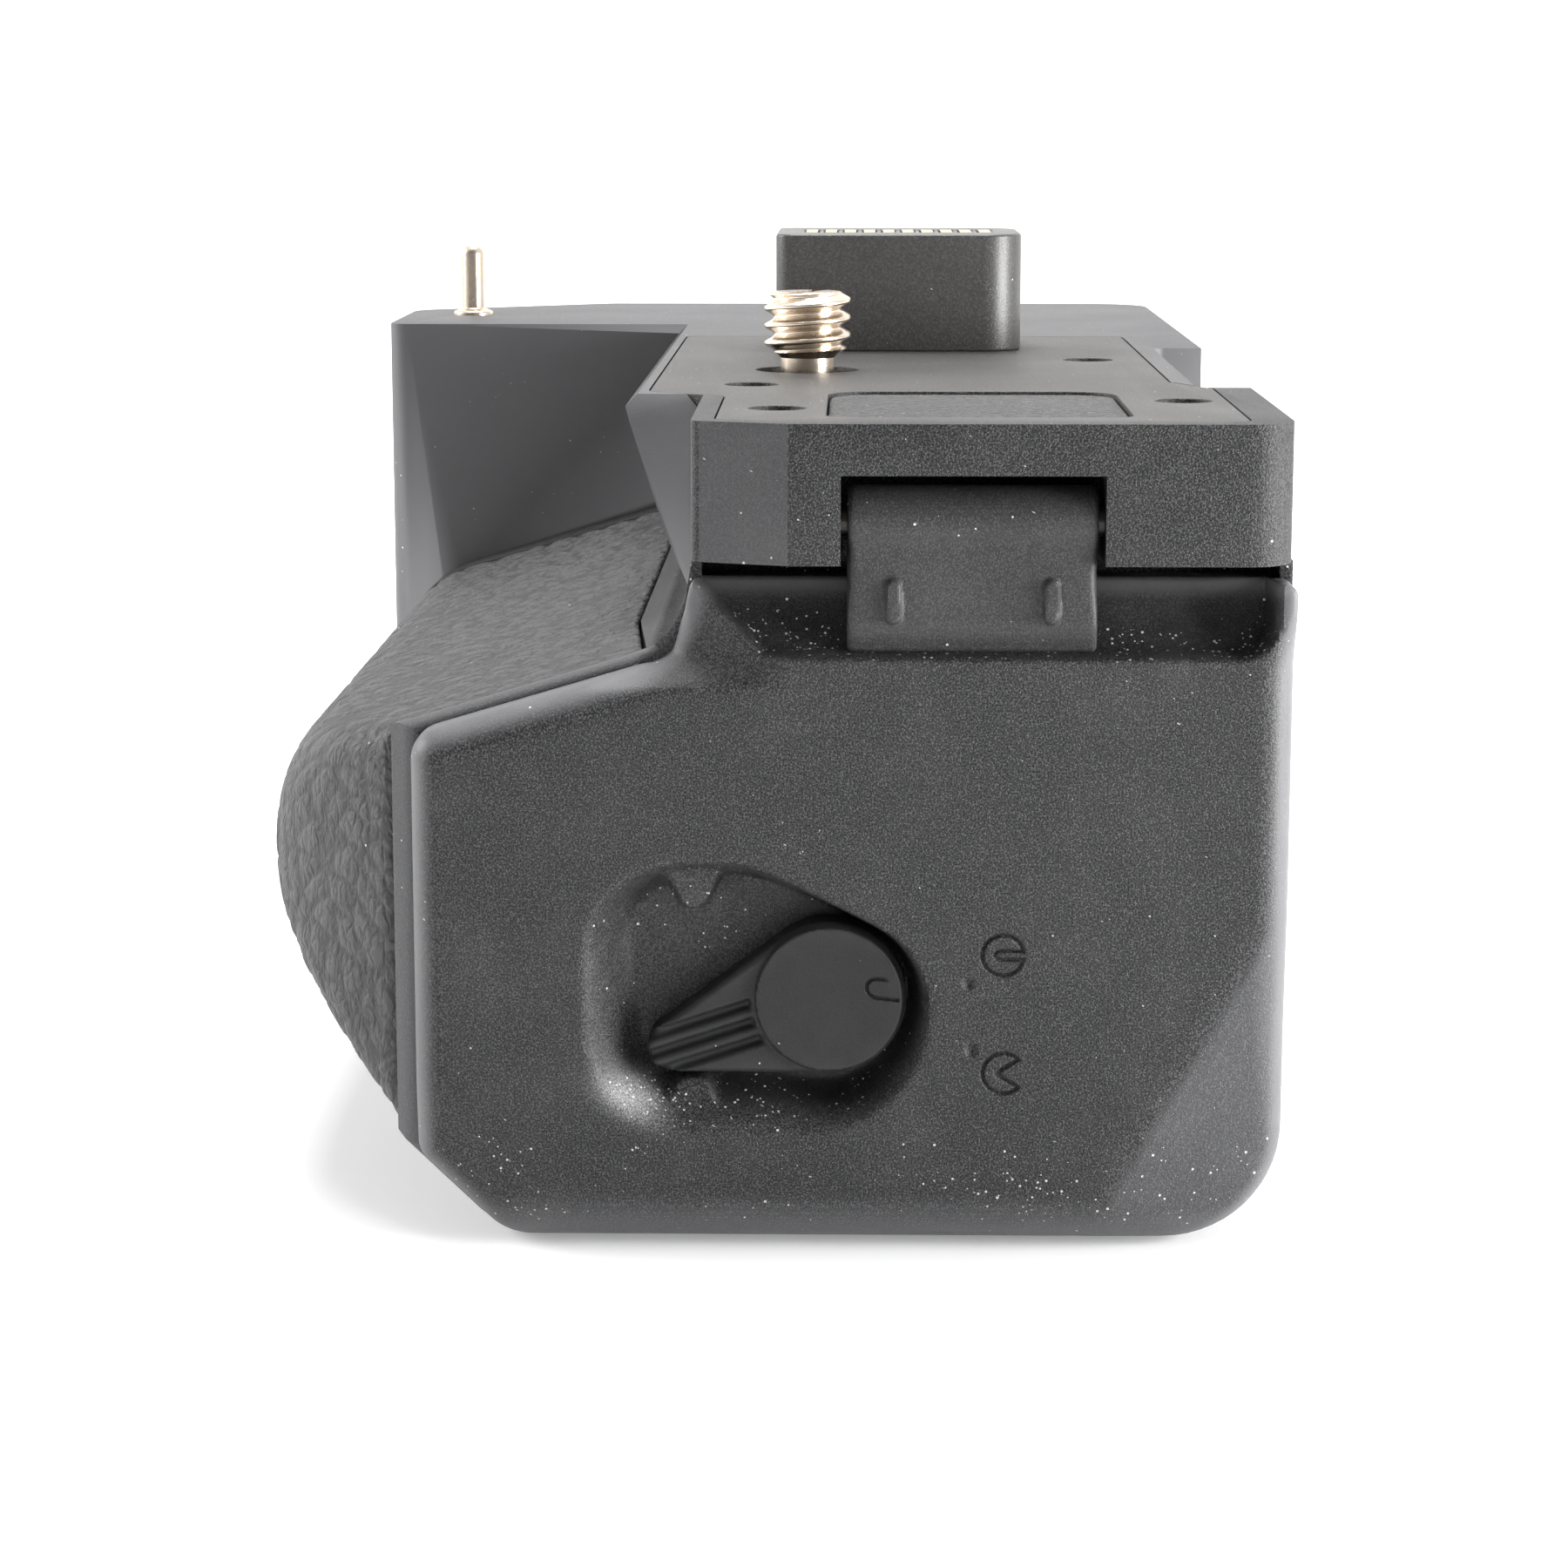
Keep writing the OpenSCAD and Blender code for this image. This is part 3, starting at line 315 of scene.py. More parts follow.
def rolled(points: Sequence[tuple[float, float]], radii: Sequence[float], steps: int = 5) -> Array:
    """Open profile whose inner corners are arcs.

    Args:
        points: Corners of the profile.
        radii: Radius at each inner corner.
        steps: Points of an arc.

    Returns:
        The points of the profile, arcs included.
    """
    p = np.array(points, float)
    arcs = [arc(*p[k:k + 3], r, lambda turn: steps) for k, r in enumerate(radii)]
    return np.concatenate([p[:1], *arcs, p[-1:]])


@dataclass
class Relief:
    """Face with a height over its plane, a rim that rolls over, and a wall behind the rim.

    Inside the outline the surface is height(u, v) less the drop of a quarter round,
    R - sqrt(R^2 - (R + d)^2) for a distance d > -R to the outline. Past 60 degrees of the round
    the surface goes on in rings along the outline, down to the back.
    """

    outline: Outline
    height: Field
    radius: Field
    back: float
    facing: Facing = Facing.DOOR
    paint: Callable[[Array, Array], dict[str, Array]] | None = None

    STOP = math.radians(60.0)

    def build(self, first: Array, second: Array) -> Surface:
        """Works the face out on a grid.

        Args:
            first: Grid lines of the plane's first direction.
            second: Grid lines of its second direction.

        Returns:
            The surface, with wear near its rim.
        """
        u, v = np.meshgrid(first, second, indexing="ij")
        points = np.stack([u.ravel(), v.ravel()], 1)
        pitch = np.maximum(np.gradient(first)[:, None], np.gradient(second)[None, :]).ravel()
        d, foot, normal = self.outline.nearest(points)
        rim = self.radius(foot[:, 0], foot[:, 1]) * (1.0 - math.sin(self.STOP))
        edge = d + rim > -0.35 * pitch
        points = np.where(edge[:, None], foot - normal * rim[:, None], points)
        cells = sheet(np.zeros((*u.shape, 3))).faces
        cells = cells[~edge[cells].all(1)]
        used, cells = np.unique(cells, return_inverse=True)
        cells = cells.reshape(-1, 4)
        points = points[used]
        d, foot, normal = self.outline.nearest(points)
        r = self.radius(foot[:, 0], foot[:, 1])
        inner = np.clip(r + d, 0.0, r)
        top = self.height(points[:, 0], points[:, 1]) - (r - np.sqrt(r * r - inner * inner))
        flat = np.column_stack([points, top])
        sides = np.concatenate([cells[:, [k, (k + 1) % 4]] for k in range(4)])
        key = np.sort(sides, 1)
        key = key[:, 0] * len(points) + key[:, 1]
        _, first_at, count = np.unique(key, return_index=True, return_counts=True)
        sides = sides[first_at[count == 1]]
        rim_at, sides = np.unique(sides, return_inverse=True)
        sides = sides.reshape(-1, 2)
        a = np.linspace(self.STOP, math.pi / 2.0, 5)[1:]
        rb = r[rim_at][None]
        out = foot[rim_at][None] - normal[rim_at][None] * (rb * (1.0 - np.sin(a)[:, None]))[..., None]
        low = top[rim_at][None] - rb * (math.cos(self.STOP) - np.cos(a))[:, None]
        rings = np.concatenate([out, low[..., None]], -1)
        last = rings[-1].copy()
        last[:, 2] = np.minimum(self.back, last[:, 2])
        rings = np.concatenate([rings, last[None]])
        base = len(flat) + np.arange(len(rings))[:, None] * len(rim_at)
        index = np.concatenate([rim_at[None], base + np.arange(len(rim_at))[None]])
        upper, lower = index[:-1][:, sides], index[1:][:, sides]
        walls = np.stack([upper[..., 1], upper[..., 0], lower[..., 0], lower[..., 1]], -1).reshape(-1, 4)
        flat = np.concatenate([flat, rings.reshape(-1, 3)])
        tints = self.paint(points[:, 0], points[:, 1]) if self.paint else {}
        tints = {"wear": ease(-1.6, -0.2, d), **tints}
        tints = {k: np.concatenate([t, np.tile(t[rim_at], len(rings))]) for k, t in tints.items()}
        return Surface(self.facing.place(flat), np.concatenate([cells, walls]), tints)


def lines(low: float, high: float, step: float, fine: Sequence[tuple[float, float, float]] = ()) -> Array:
    """Grid lines from low to high, closer together in some stretches.

    Args:
        low: First line.
        high: Last line.
        step: Distance between lines.
        fine: (from, to, step) of each closer stretch.

    Returns:
        The lines in order.
    """
    marks = [low, *[m for f in fine for m in f[:2]], high]
    steps = [step]
    for f in fine:
        steps += [f[2], step]
    runs = [np.linspace(a, b, max(2, round((b - a) / s) + 1))[:-1]
            for a, b, s in zip(marks, marks[1:], steps)]
    return np.concatenate([*runs, [high]])


class Graph:
    """Short way to lay out the nodes of one tree."""

    def __init__(self, tree: bpy.types.NodeTree) -> None:
        """Keeps the tree that is filled."""
        self.tree = tree

    def add(self, kind: str, **settings: object) -> bpy.types.Node:
        """Adds a node and sets its properties and, by socket name, its inputs.

        Args:
            kind: Node type.
            **settings: Properties in lower case; inputs in a dict called sockets.

        Returns:
            The node.
        """
        node = self.tree.nodes.new(kind)
        sockets = settings.pop("sockets", {})
        for key, value in settings.items():
            setattr(node, key, value)
        for key, value in sockets.items():
            self.feed(node.inputs[key], value)
        return node

    def feed(self, socket: bpy.types.NodeSocket, value: object) -> None:
        """Links another socket into this one, or sets a plain value."""
        if isinstance(value, bpy.types.NodeSocket):
            self.tree.links.new(value, socket)
        else:
            socket.default_value = value

    def math(self, what: str, a: object, b: object = 0.0, clamp: bool = False) -> Socket:
        """Sum, product or other operation of two values."""
        node = self.add("ShaderNodeMath", operation=what, use_clamp=clamp)
        self.feed(node.inputs[0], a)
        self.feed(node.inputs[1], b)
        return node.outputs[0]

    def span(self, value: object, low: float, high: float,
             to_low: float = 0.0, to_high: float = 1.0) -> Socket:
        """Smooth step of a value from one range to another."""
        node = self.add("ShaderNodeMapRange", interpolation_type="SMOOTHSTEP", sockets={
            "Value": value, "From Min": low, "From Max": high, "To Min": to_low, "To Max": to_high})
        return node.outputs["Result"]

    def noise(self, where: object, scale: object, detail: float = 2.0, rough: float = 0.5) -> Socket:
        """Noise in Object coordinates; scale counts per metre."""
        return self.add("ShaderNodeTexNoise", sockets={
            "Vector": where, "Scale": scale, "Detail": detail, "Roughness": rough}).outputs["Fac"]

    def cells(self, where: object, scale: object) -> Socket:
        """Distance to the edges of a field of cells."""
        return self.add("ShaderNodeTexVoronoi", feature="DISTANCE_TO_EDGE", sockets={
            "Vector": where, "Scale": scale}).outputs["Distance"]

    def blend(self, share: object, a: object, b: object) -> Socket:
        """Mix of two colours."""
        node = self.add("ShaderNodeMix", data_type="RGBA", sockets={"Factor": share, "A": a, "B": b})
        return node.outputs["Result"]

    def group(self, tree: bpy.types.NodeTree, **sockets: object) -> bpy.types.bpy_prop_collection:
        """Outputs of a shared effect, fed by socket name."""
        return self.add("ShaderNodeGroup", node_tree=tree, sockets=sockets).outputs


class Effect:
    """Surface effects that several finishes share, each one node group."""

    def __init__(self) -> None:
        """Builds the groups."""
        self.grain = self._grain()
        self.hide = self._hide()
        self.dust = self._dust()
        self.rub = self._rub()

    @staticmethod
    def _group(name: str, control: str,
               outputs: Sequence[str]) -> tuple[Graph, Socket, Socket, dict[str, Socket]]:
        """Makes an empty group that is fed a place and one value.

        Args:
            name: Name of the group.
            control: Name of the value input.
            outputs: Names of the value outputs.

        Returns:
            Its graph, the place, the value, and its inner output sockets by name.
        """
        tree = bpy.data.node_groups.new(name, "ShaderNodeTree")
        tree.interface.new_socket("Vector", in_out="INPUT", socket_type="NodeSocketVector")
        tree.interface.new_socket(control, in_out="INPUT", socket_type="NodeSocketFloat")
        for key in outputs:
            tree.interface.new_socket(key, in_out="OUTPUT", socket_type="NodeSocketFloat")
        graph = Graph(tree)
        entry, leave = graph.add("NodeGroupInput"), graph.add("NodeGroupOutput")
        return graph, entry.outputs["Vector"], entry.outputs[control], {k: leave.inputs[k] for k in outputs}

    def _grain(self) -> bpy.types.NodeTree:
        """Spark grain of a moulded plastic: fine pits with a few brighter peaks."""
        g, where, scale, out = self._group("spark_grain", "Scale", ("Height", "Fleck"))
        pits = g.noise(where, scale, 1.0, 0.6)
        specks = g.add("ShaderNodeTexVoronoi", sockets={
            "Vector": where, "Scale": g.math("MULTIPLY", scale, 0.9)})
        chance = g.add("ShaderNodeSeparateColor", sockets={"Color": specks.outputs["Color"]})
        tip = g.span(specks.outputs["Distance"], 0.5, 0.2)
        peak = g.math("MULTIPLY", tip, g.span(chance.outputs["Red"], 0.45, 1.0))
        height = g.math("ADD", g.math("MULTIPLY", pits, 0.8), g.math("MULTIPLY", peak, 0.6))
        g.feed(out["Height"], height)
        g.feed(out["Fleck"], g.span(height, 0.26, 0.68))
        return g.tree

    def _hide(self) -> bpy.types.NodeTree:
        """Leather grain: soft wrinkled pebbles of two sizes, drawn out of shape, and the creases between
        them, where shade is painted.
        """
        g, where, scale, out = self._group("leather_grain", "Scale", ("Height", "Crease"))
        push = g.add("ShaderNodeTexNoise", sockets={
            "Vector": where, "Scale": g.math("MULTIPLY", scale, 0.8), "Detail": 2.0})
        shift = g.add("ShaderNodeVectorMath", operation="MULTIPLY_ADD")
        g.feed(shift.inputs[0], push.outputs["Color"])
        shift.inputs[1].default_value = (0.0011, 0.0011, 0.0011)
        g.feed(shift.inputs[2], where)
        drawn = g.add("ShaderNodeMapping", sockets={
            "Vector": shift.outputs[0], "Rotation": (0.45, 0.3, 0.0), "Scale": (1.0, 1.0, 0.55)})
        large = g.cells(drawn.outputs["Vector"], scale)
        small = g.cells(drawn.outputs["Vector"], g.math("MULTIPLY", scale, 2.1))
        pebble = g.math("ADD", g.math("MULTIPLY", g.span(large, 0.0, 0.3), 0.75),
                        g.math("MULTIPLY", g.span(small, 0.0, 0.3), 0.25))
        fine = g.noise(where, g.math("MULTIPLY", scale, 7.0))
        g.feed(out["Height"], g.math("ADD", pebble, g.math("MULTIPLY", fine, 0.12)))
        g.feed(out["Crease"], g.math("MULTIPLY", g.span(large, 0.12, 0.02),
                                     g.span(push.outputs["Fac"], 0.35, 0.55)))
        return g.tree

    def _dust(self) -> bpy.types.NodeTree:
        """Dust: specks in some cells of a fine field, fibres in cells drawn out three ways, a thin film."""
        g, where, amount, out = self._group("dust", "Amount", ("Specks", "Film"))
        patch = g.span(g.noise(where, 130.0), 0.35, 0.7, 0.25, 1.5)
        share = g.math("MULTIPLY", amount, patch)
        specks = self._scattered(g, where, (1500.0, 1500.0, 1500.0), 0.0, share, 0.7, 0.14)
        heaped = g.math("SUBTRACT", share, 0.25)
        heaps = self._scattered(g, where, (3200.0, 3200.0, 3200.0), 0.9, heaped, 0.6, 0.3)
        specks = g.math("MAXIMUM", specks, heaps)
        for turn, part in ((0.5, 0.5), (1.7, 0.45), (2.6, 0.5)):
            fibres = self._scattered(g, where, (1900.0, 620.0, 2300.0), turn, share, part, 0.1)
            specks = g.math("MAXIMUM", specks, g.math("MULTIPLY", fibres, 0.75))
        veil = g.span(g.noise(where, 160.0, 5.0, 0.7), 0.4, 0.85)
        g.feed(out["Specks"], specks)
        g.feed(out["Film"], g.math("MULTIPLY", veil, g.math("MINIMUM", amount, 0.22)))
        return g.tree

    @staticmethod
    def _scattered(g: Graph, where: object, scale: tuple[float, float, float], turn: float,
                   share: object, part: float, size: float) -> Socket:
        """Small blots in a share of the cells of a field.

        Args:
            g: Graph to add to.
            where: Object coordinates.
            scale: Cells per metre along the turned axes; unequal ones draw the blots out.
            turn: Turn of the field about X and Z, in radians.
            share: Share of dusty cells.
            part: What the share is multiplied by.
            size: Largest radius of a blot in cells.

        Returns:
            1 in the blots, 0 elsewhere.
        """
        turned_to = g.add("ShaderNodeMapping", sockets={
            "Vector": where, "Rotation": (turn, 0.4 * turn, 0.7 * turn)})
        drawn = g.add("ShaderNodeVectorMath", operation="MULTIPLY")
        g.feed(drawn.inputs[0], turned_to.outputs["Vector"])
        drawn.inputs[1].default_value = scale
        cells = g.add("ShaderNodeTexVoronoi", sockets={"Vector": drawn.outputs[0], "Scale": 1.0})
        chance = g.add("ShaderNodeSeparateColor", sockets={"Color": cells.outputs["Color"]})
        radius = g.math("ADD", g.math("MULTIPLY", chance.outputs["Green"], 0.65), 0.35)
        radius = g.math("MULTIPLY", radius, size)
        here = g.math("LESS_THAN", chance.outputs["Red"], g.math("MULTIPLY", share, part))
        return g.math("MULTIPLY", here, g.math("LESS_THAN", cells.outputs["Distance"], radius))

    def _rub(self) -> bpy.types.NodeTree:
        """Rubbed edges: the wear attribute broken up by noise."""
        g, where, wear, out = self._group("rubbed_edge", "Wear", ("Mask",))
        broken = g.math("MULTIPLY", wear, g.span(g.noise(where, 380.0, 3.0, 0.6), 0.25, 0.7))
        g.feed(out["Mask"], g.math("MINIMUM", broken, 1.0))
        return g.tree


def shade(base: Sequence[float], factor: float, lift: float = 0.0) -> Colour:
    """A colour times a factor, plus a lift, at most white."""
    return (*[min(1.0, factor * c + lift) for c in base[:3]], 1.0)


class Look(Enum):
    """Kinds of finish."""

    MOULDED = "moulded"
    LEATHER = "leather"
    METAL = "metal"
    GLOSS = "gloss"
    BOARD = "board"


# Point attributes the finishes read: rubbed wear; painted shade; dust; a rubbed patch with a painted
# highlight; smoother grain with painted sheen.
PAINTS = ("wear", "painted_shade", "dust", "polish_and_highlight", "smooth_and_sheen")
# Pale grey of the painted highlight on the rubbed patch.
POLISHED_HIGHLIGHT: Colour = (0.42, 0.42, 0.42, 1.0)
FILM: Colour = (0.34, 0.33, 0.32, 1.0)
SPECK: Colour = (0.66, 0.65, 0.63, 1.0)


@dataclass(frozen=True)
class Finish:
    """One finish: its colour as display levels, its gloss, and how much of each effect it shows."""

    name: str
    slot: str
    look: Look
    colour: tuple[float, float, float]
    roughness: float
    grain_scale: float = 5000.0
    grain_depth: float = 0.03
    fleck: float = 0.15
    dust: float = 0.1
    rub: float = 0.3
    specular: float = 0.5

    def make(self, effects: Effect) -> bpy.types.Material:
        """Builds the material.

        Args:
            effects: Shared node groups.

        Returns:
            The material.
        """
        material = bpy.data.materials.new(self.name)
        material.use_nodes = True
        g = Graph(material.node_tree)
        g.tree.nodes.clear()
        where = g.add("ShaderNodeTexCoord").outputs["Object"]
        base = (*[linear(c) for c in self.colour], 1.0)
        shader = g.add("ShaderNodeBsdfPrincipled", sockets={"Specular IOR Level": self.specular})
        g.feed(g.add("ShaderNodeOutputMaterial").inputs["Surface"], shader.outputs["BSDF"])
        colour, rough, height = self._layers()(g, where, base, effects)
        paint = {k: g.add("ShaderNodeAttribute", attribute_name=k).outputs["Fac"] for k in PAINTS}
        # Painted sheen: smoother faces painted far lighter, where rims and facets would catch the light.
        colour = g.blend(paint["smooth_and_sheen"], colour, shade(base, 4.2))
        # Painted shade: grooves, creases, the scoop and the recess floor darkened towards a quarter of the
        # colour.
        colour = g.blend(paint["painted_shade"], colour, shade(base, 0.25))
        rubbed = g.group(effects.rub, Vector=where, Wear=paint["wear"])["Mask"]
        colour = g.blend(g.math("MULTIPLY", rubbed, self.rub), colour, shade(base, 1.7, 0.01))
        rough = g.math("SUBTRACT", rough, g.math("MULTIPLY", rubbed, 0.2 * self.rub), clamp=True)
        # Rubbed patch: a painted highlight, its grain peaks painted lighter towards a pale grey.
        polish_highlight = g.math("MULTIPLY", paint["polish_and_highlight"], g.span(height, 0.15, 0.75, 0.25, 1.0))
        colour = g.blend(polish_highlight, colour, POLISHED_HIGHLIGHT)
        dust = g.group(effects.dust, Vector=where, Amount=g.math("ADD", paint["dust"], self.dust))
        colour = g.blend(g.math("MULTIPLY", dust["Film"], 0.3), colour, FILM)
        colour = g.blend(g.math("MULTIPLY", dust["Specks"], 0.8), colour, SPECK)
        g.feed(shader.inputs["Base Color"], colour)
        g.feed(shader.inputs["Roughness"], rough)
        kept = g.math("SUBTRACT", 1.0, g.math("MULTIPLY", paint["smooth_and_sheen"], 0.9))
        relief = g.math("MULTIPLY", g.math("SUBTRACT", height, 0.45), kept)
        bump = g.add("ShaderNodeBump", sockets={
            "Strength": 1.0, "Distance": self.grain_depth * MM, "Height": relief})
        g.feed(shader.inputs["Normal"], bump.outputs["Normal"])
        if self.look is Look.METAL:
            shader.inputs["Metallic"].default_value = 1.0
        if self.look is Look.GLOSS:
            shader.inputs["Coat Weight"].default_value = 0.4
        return material

    def _layers(self) -> Callable[..., Layers]:
        """The method that lays this look's colour, roughness and height."""
        return {Look.MOULDED: self._moulded, Look.LEATHER: self._leather, Look.METAL: self._metal,
                Look.GLOSS: self._gloss, Look.BOARD: self._board}[self.look]

    def _moulded(self, g: Graph, where: Socket, base: Colour, effects: Effect) -> Layers:
        """Moulded plastic: spark grain whose peaks are paler and smoother than its pits."""
        grain = g.group(effects.grain, Vector=where, Scale=self.grain_scale)
        colour = g.blend(grain["Fleck"], shade(base, 1.0 - self.fleck), shade(base, 1.0 + 1.2 * self.fleck))
        rough = g.math("ADD", self.roughness - 0.06, g.math("MULTIPLY", g.noise(where, 90.0, 4.0), 0.12))
        return colour, rough, grain["Height"]

    def _leather(self, g: Graph, where: Socket, base: Colour, effects: Effect) -> Layers:
        """Leather-grained rubber: pebbles with painted shade darkening the creases between them."""
        hide = g.group(effects.hide, Vector=where, Scale=self.grain_scale)
        colour = g.blend(hide["Crease"], base, shade(base, 0.35))
        rough = g.math("ADD", self.roughness - 0.05, g.math("MULTIPLY", g.noise(where, 120.0, 3.0), 0.1))
        return colour, rough, hide["Height"]

    def _metal(self, g: Graph, where: Socket, base: Colour, effects: Effect) -> Layers:
        """Plated metal: fine turning marks and faint tarnish."""
        tarnish = g.span(g.noise(where, 500.0, 4.0, 0.6), 0.4, 0.8)
        colour = g.blend(g.math("MULTIPLY", tarnish, self.fleck), base, shade(base, 0.6))
        rough = g.math("ADD", self.roughness - 0.08, g.math("MULTIPLY", g.noise(where, 2500.0, 2.0), 0.16))
        return colour, rough, g.noise(where, self.grain_scale, 2.0)

    def _gloss(self, g: Graph, where: Socket, base: Colour, effects: Effect) -> Layers:
        """Smooth moulded plastic with faint marks of use."""
        marks = g.span(g.noise(where, 900.0, 5.0, 0.7), 0.5, 0.8)
        colour = g.blend(g.math("MULTIPLY", marks, self.fleck), base, shade(base, 1.3, 0.004))
        rough = g.math("ADD", self.roughness, g.math("MULTIPLY", marks, 0.18))
        return colour, rough, g.noise(where, self.grain_scale, 2.0)

    def _board(self, g: Graph, where: Socket, base: Colour, effects: Effect) -> Layers:
        """Circuit board: green resist over a weave, with paler copper tracks."""
        brick = g.add("ShaderNodeTexBrick", sockets={"Vector": where, "Scale": 160.0, "Mortar Size": 0.05})
        colour = g.blend(brick.outputs["Fac"], base, shade(base, 1.7))
        rough = g.math("ADD", self.roughness, g.math("MULTIPLY", g.noise(where, 300.0, 3.0), 0.1))
        return colour, rough, g.noise(where, self.grain_scale, 2.0)


SHELL = Finish("shell_spark_grain", "shell_plastic", Look.MOULDED, (47, 47, 48),
    roughness=0.52, grain_scale=7800.0, grain_depth=0.08, fleck=0.98, dust=0.14, rub=0.3, specular=0.32)
FINE = Finish("door_fine_grain", "fine_plastic", Look.MOULDED, (52, 52, 53),
    roughness=0.5, grain_scale=8600.0, grain_depth=0.06, fleck=0.98, dust=0.16, rub=0.3, specular=0.33)
ARM = Finish("arm_fine_grain", "fine_plastic", Look.MOULDED, (51, 51, 52),
    roughness=0.5, grain_scale=8600.0, grain_depth=0.03, fleck=0.45, dust=0.16, rub=0.3, specular=0.33)
SMOOTH = Finish("lever_satin", "fine_plastic", Look.MOULDED, (40, 40, 41),
    roughness=0.5, grain_scale=8000.0, grain_depth=0.012, fleck=0.15, dust=0.08, rub=0.3, specular=0.22)
CONNECTOR = Finish("connector_grain", "fine_plastic", Look.MOULDED, (66, 65, 64),
    roughness=0.38, grain_scale=6400.0, grain_depth=0.012, fleck=0.3, dust=0.06)
CHAMBER = Finish("chamber_plastic", "fine_plastic", Look.MOULDED, (52, 52, 54),
    roughness=0.5, grain_scale=6400.0, grain_depth=0.03, fleck=0.3, dust=0.06)
HIDE = Finish("grip_leather", "grip_rubber", Look.LEATHER, (59, 59, 59),
    roughness=0.6, grain_scale=1100.0, grain_depth=0.1, fleck=0.1, dust=0.05)
LEATHER = Finish("thumb_leather", "grip_rubber", Look.LEATHER, (54, 54, 54),
    roughness=0.6, grain_scale=700.0, grain_depth=0.2, fleck=0.1, dust=0.05)
CAP = Finish("cap_grain", "dark_rubber", Look.LEATHER, (76, 76, 76),
    roughness=0.6, grain_scale=1300.0, grain_depth=0.34, fleck=0.1, dust=0.2)
RUBBER = Finish("dark_rubber", "dark_rubber", Look.MOULDED, (46, 46, 48),
    roughness=0.66, grain_scale=7000.0, grain_depth=0.02, fleck=0.25, dust=0.1)
PLATE = Finish("plate_grain", "shell_plastic", Look.MOULDED, (59, 57, 55),
    roughness=0.5, grain_scale=7000.0, grain_depth=0.08, fleck=0.7, dust=0.14, rub=0.3, specular=0.44)
GLOSS = Finish("satin_black", "gloss_black", Look.GLOSS, (44, 44, 46),
    roughness=0.36, grain_scale=2500.0, grain_depth=0.004, fleck=0.4, dust=0.05)
STEEL = Finish("plated_steel", "steel", Look.METAL, (226, 211, 193),
    roughness=0.24, grain_scale=3000.0, grain_depth=0.003, fleck=0.25, dust=0.02, rub=0.0)
BLACK_STEEL = Finish("blackened_steel", "black_steel", Look.METAL, (88, 88, 92),
    roughness=0.36, grain_scale=3000.0, grain_depth=0.003, fleck=0.3, dust=0.05, rub=0.2)
DARK_PIN = Finish("dull_pin", "steel", Look.METAL, (70, 68, 66),
    roughness=0.4, grain_scale=3000.0, grain_depth=0.003, fleck=0.3, dust=0.05, rub=0.2)
GOLD = Finish("gold_contact", "gold_contact", Look.METAL, (228, 190, 120),
    roughness=0.24, grain_scale=3000.0, grain_depth=0.002, fleck=0.2, dust=0.02, rub=0.0)
BOARD = Finish("circuit_board", "board", Look.BOARD, (38, 84, 54),
    roughness=0.42, grain_scale=1500.0, grain_depth=0.02, fleck=0.2, dust=0.05, rub=0.0)


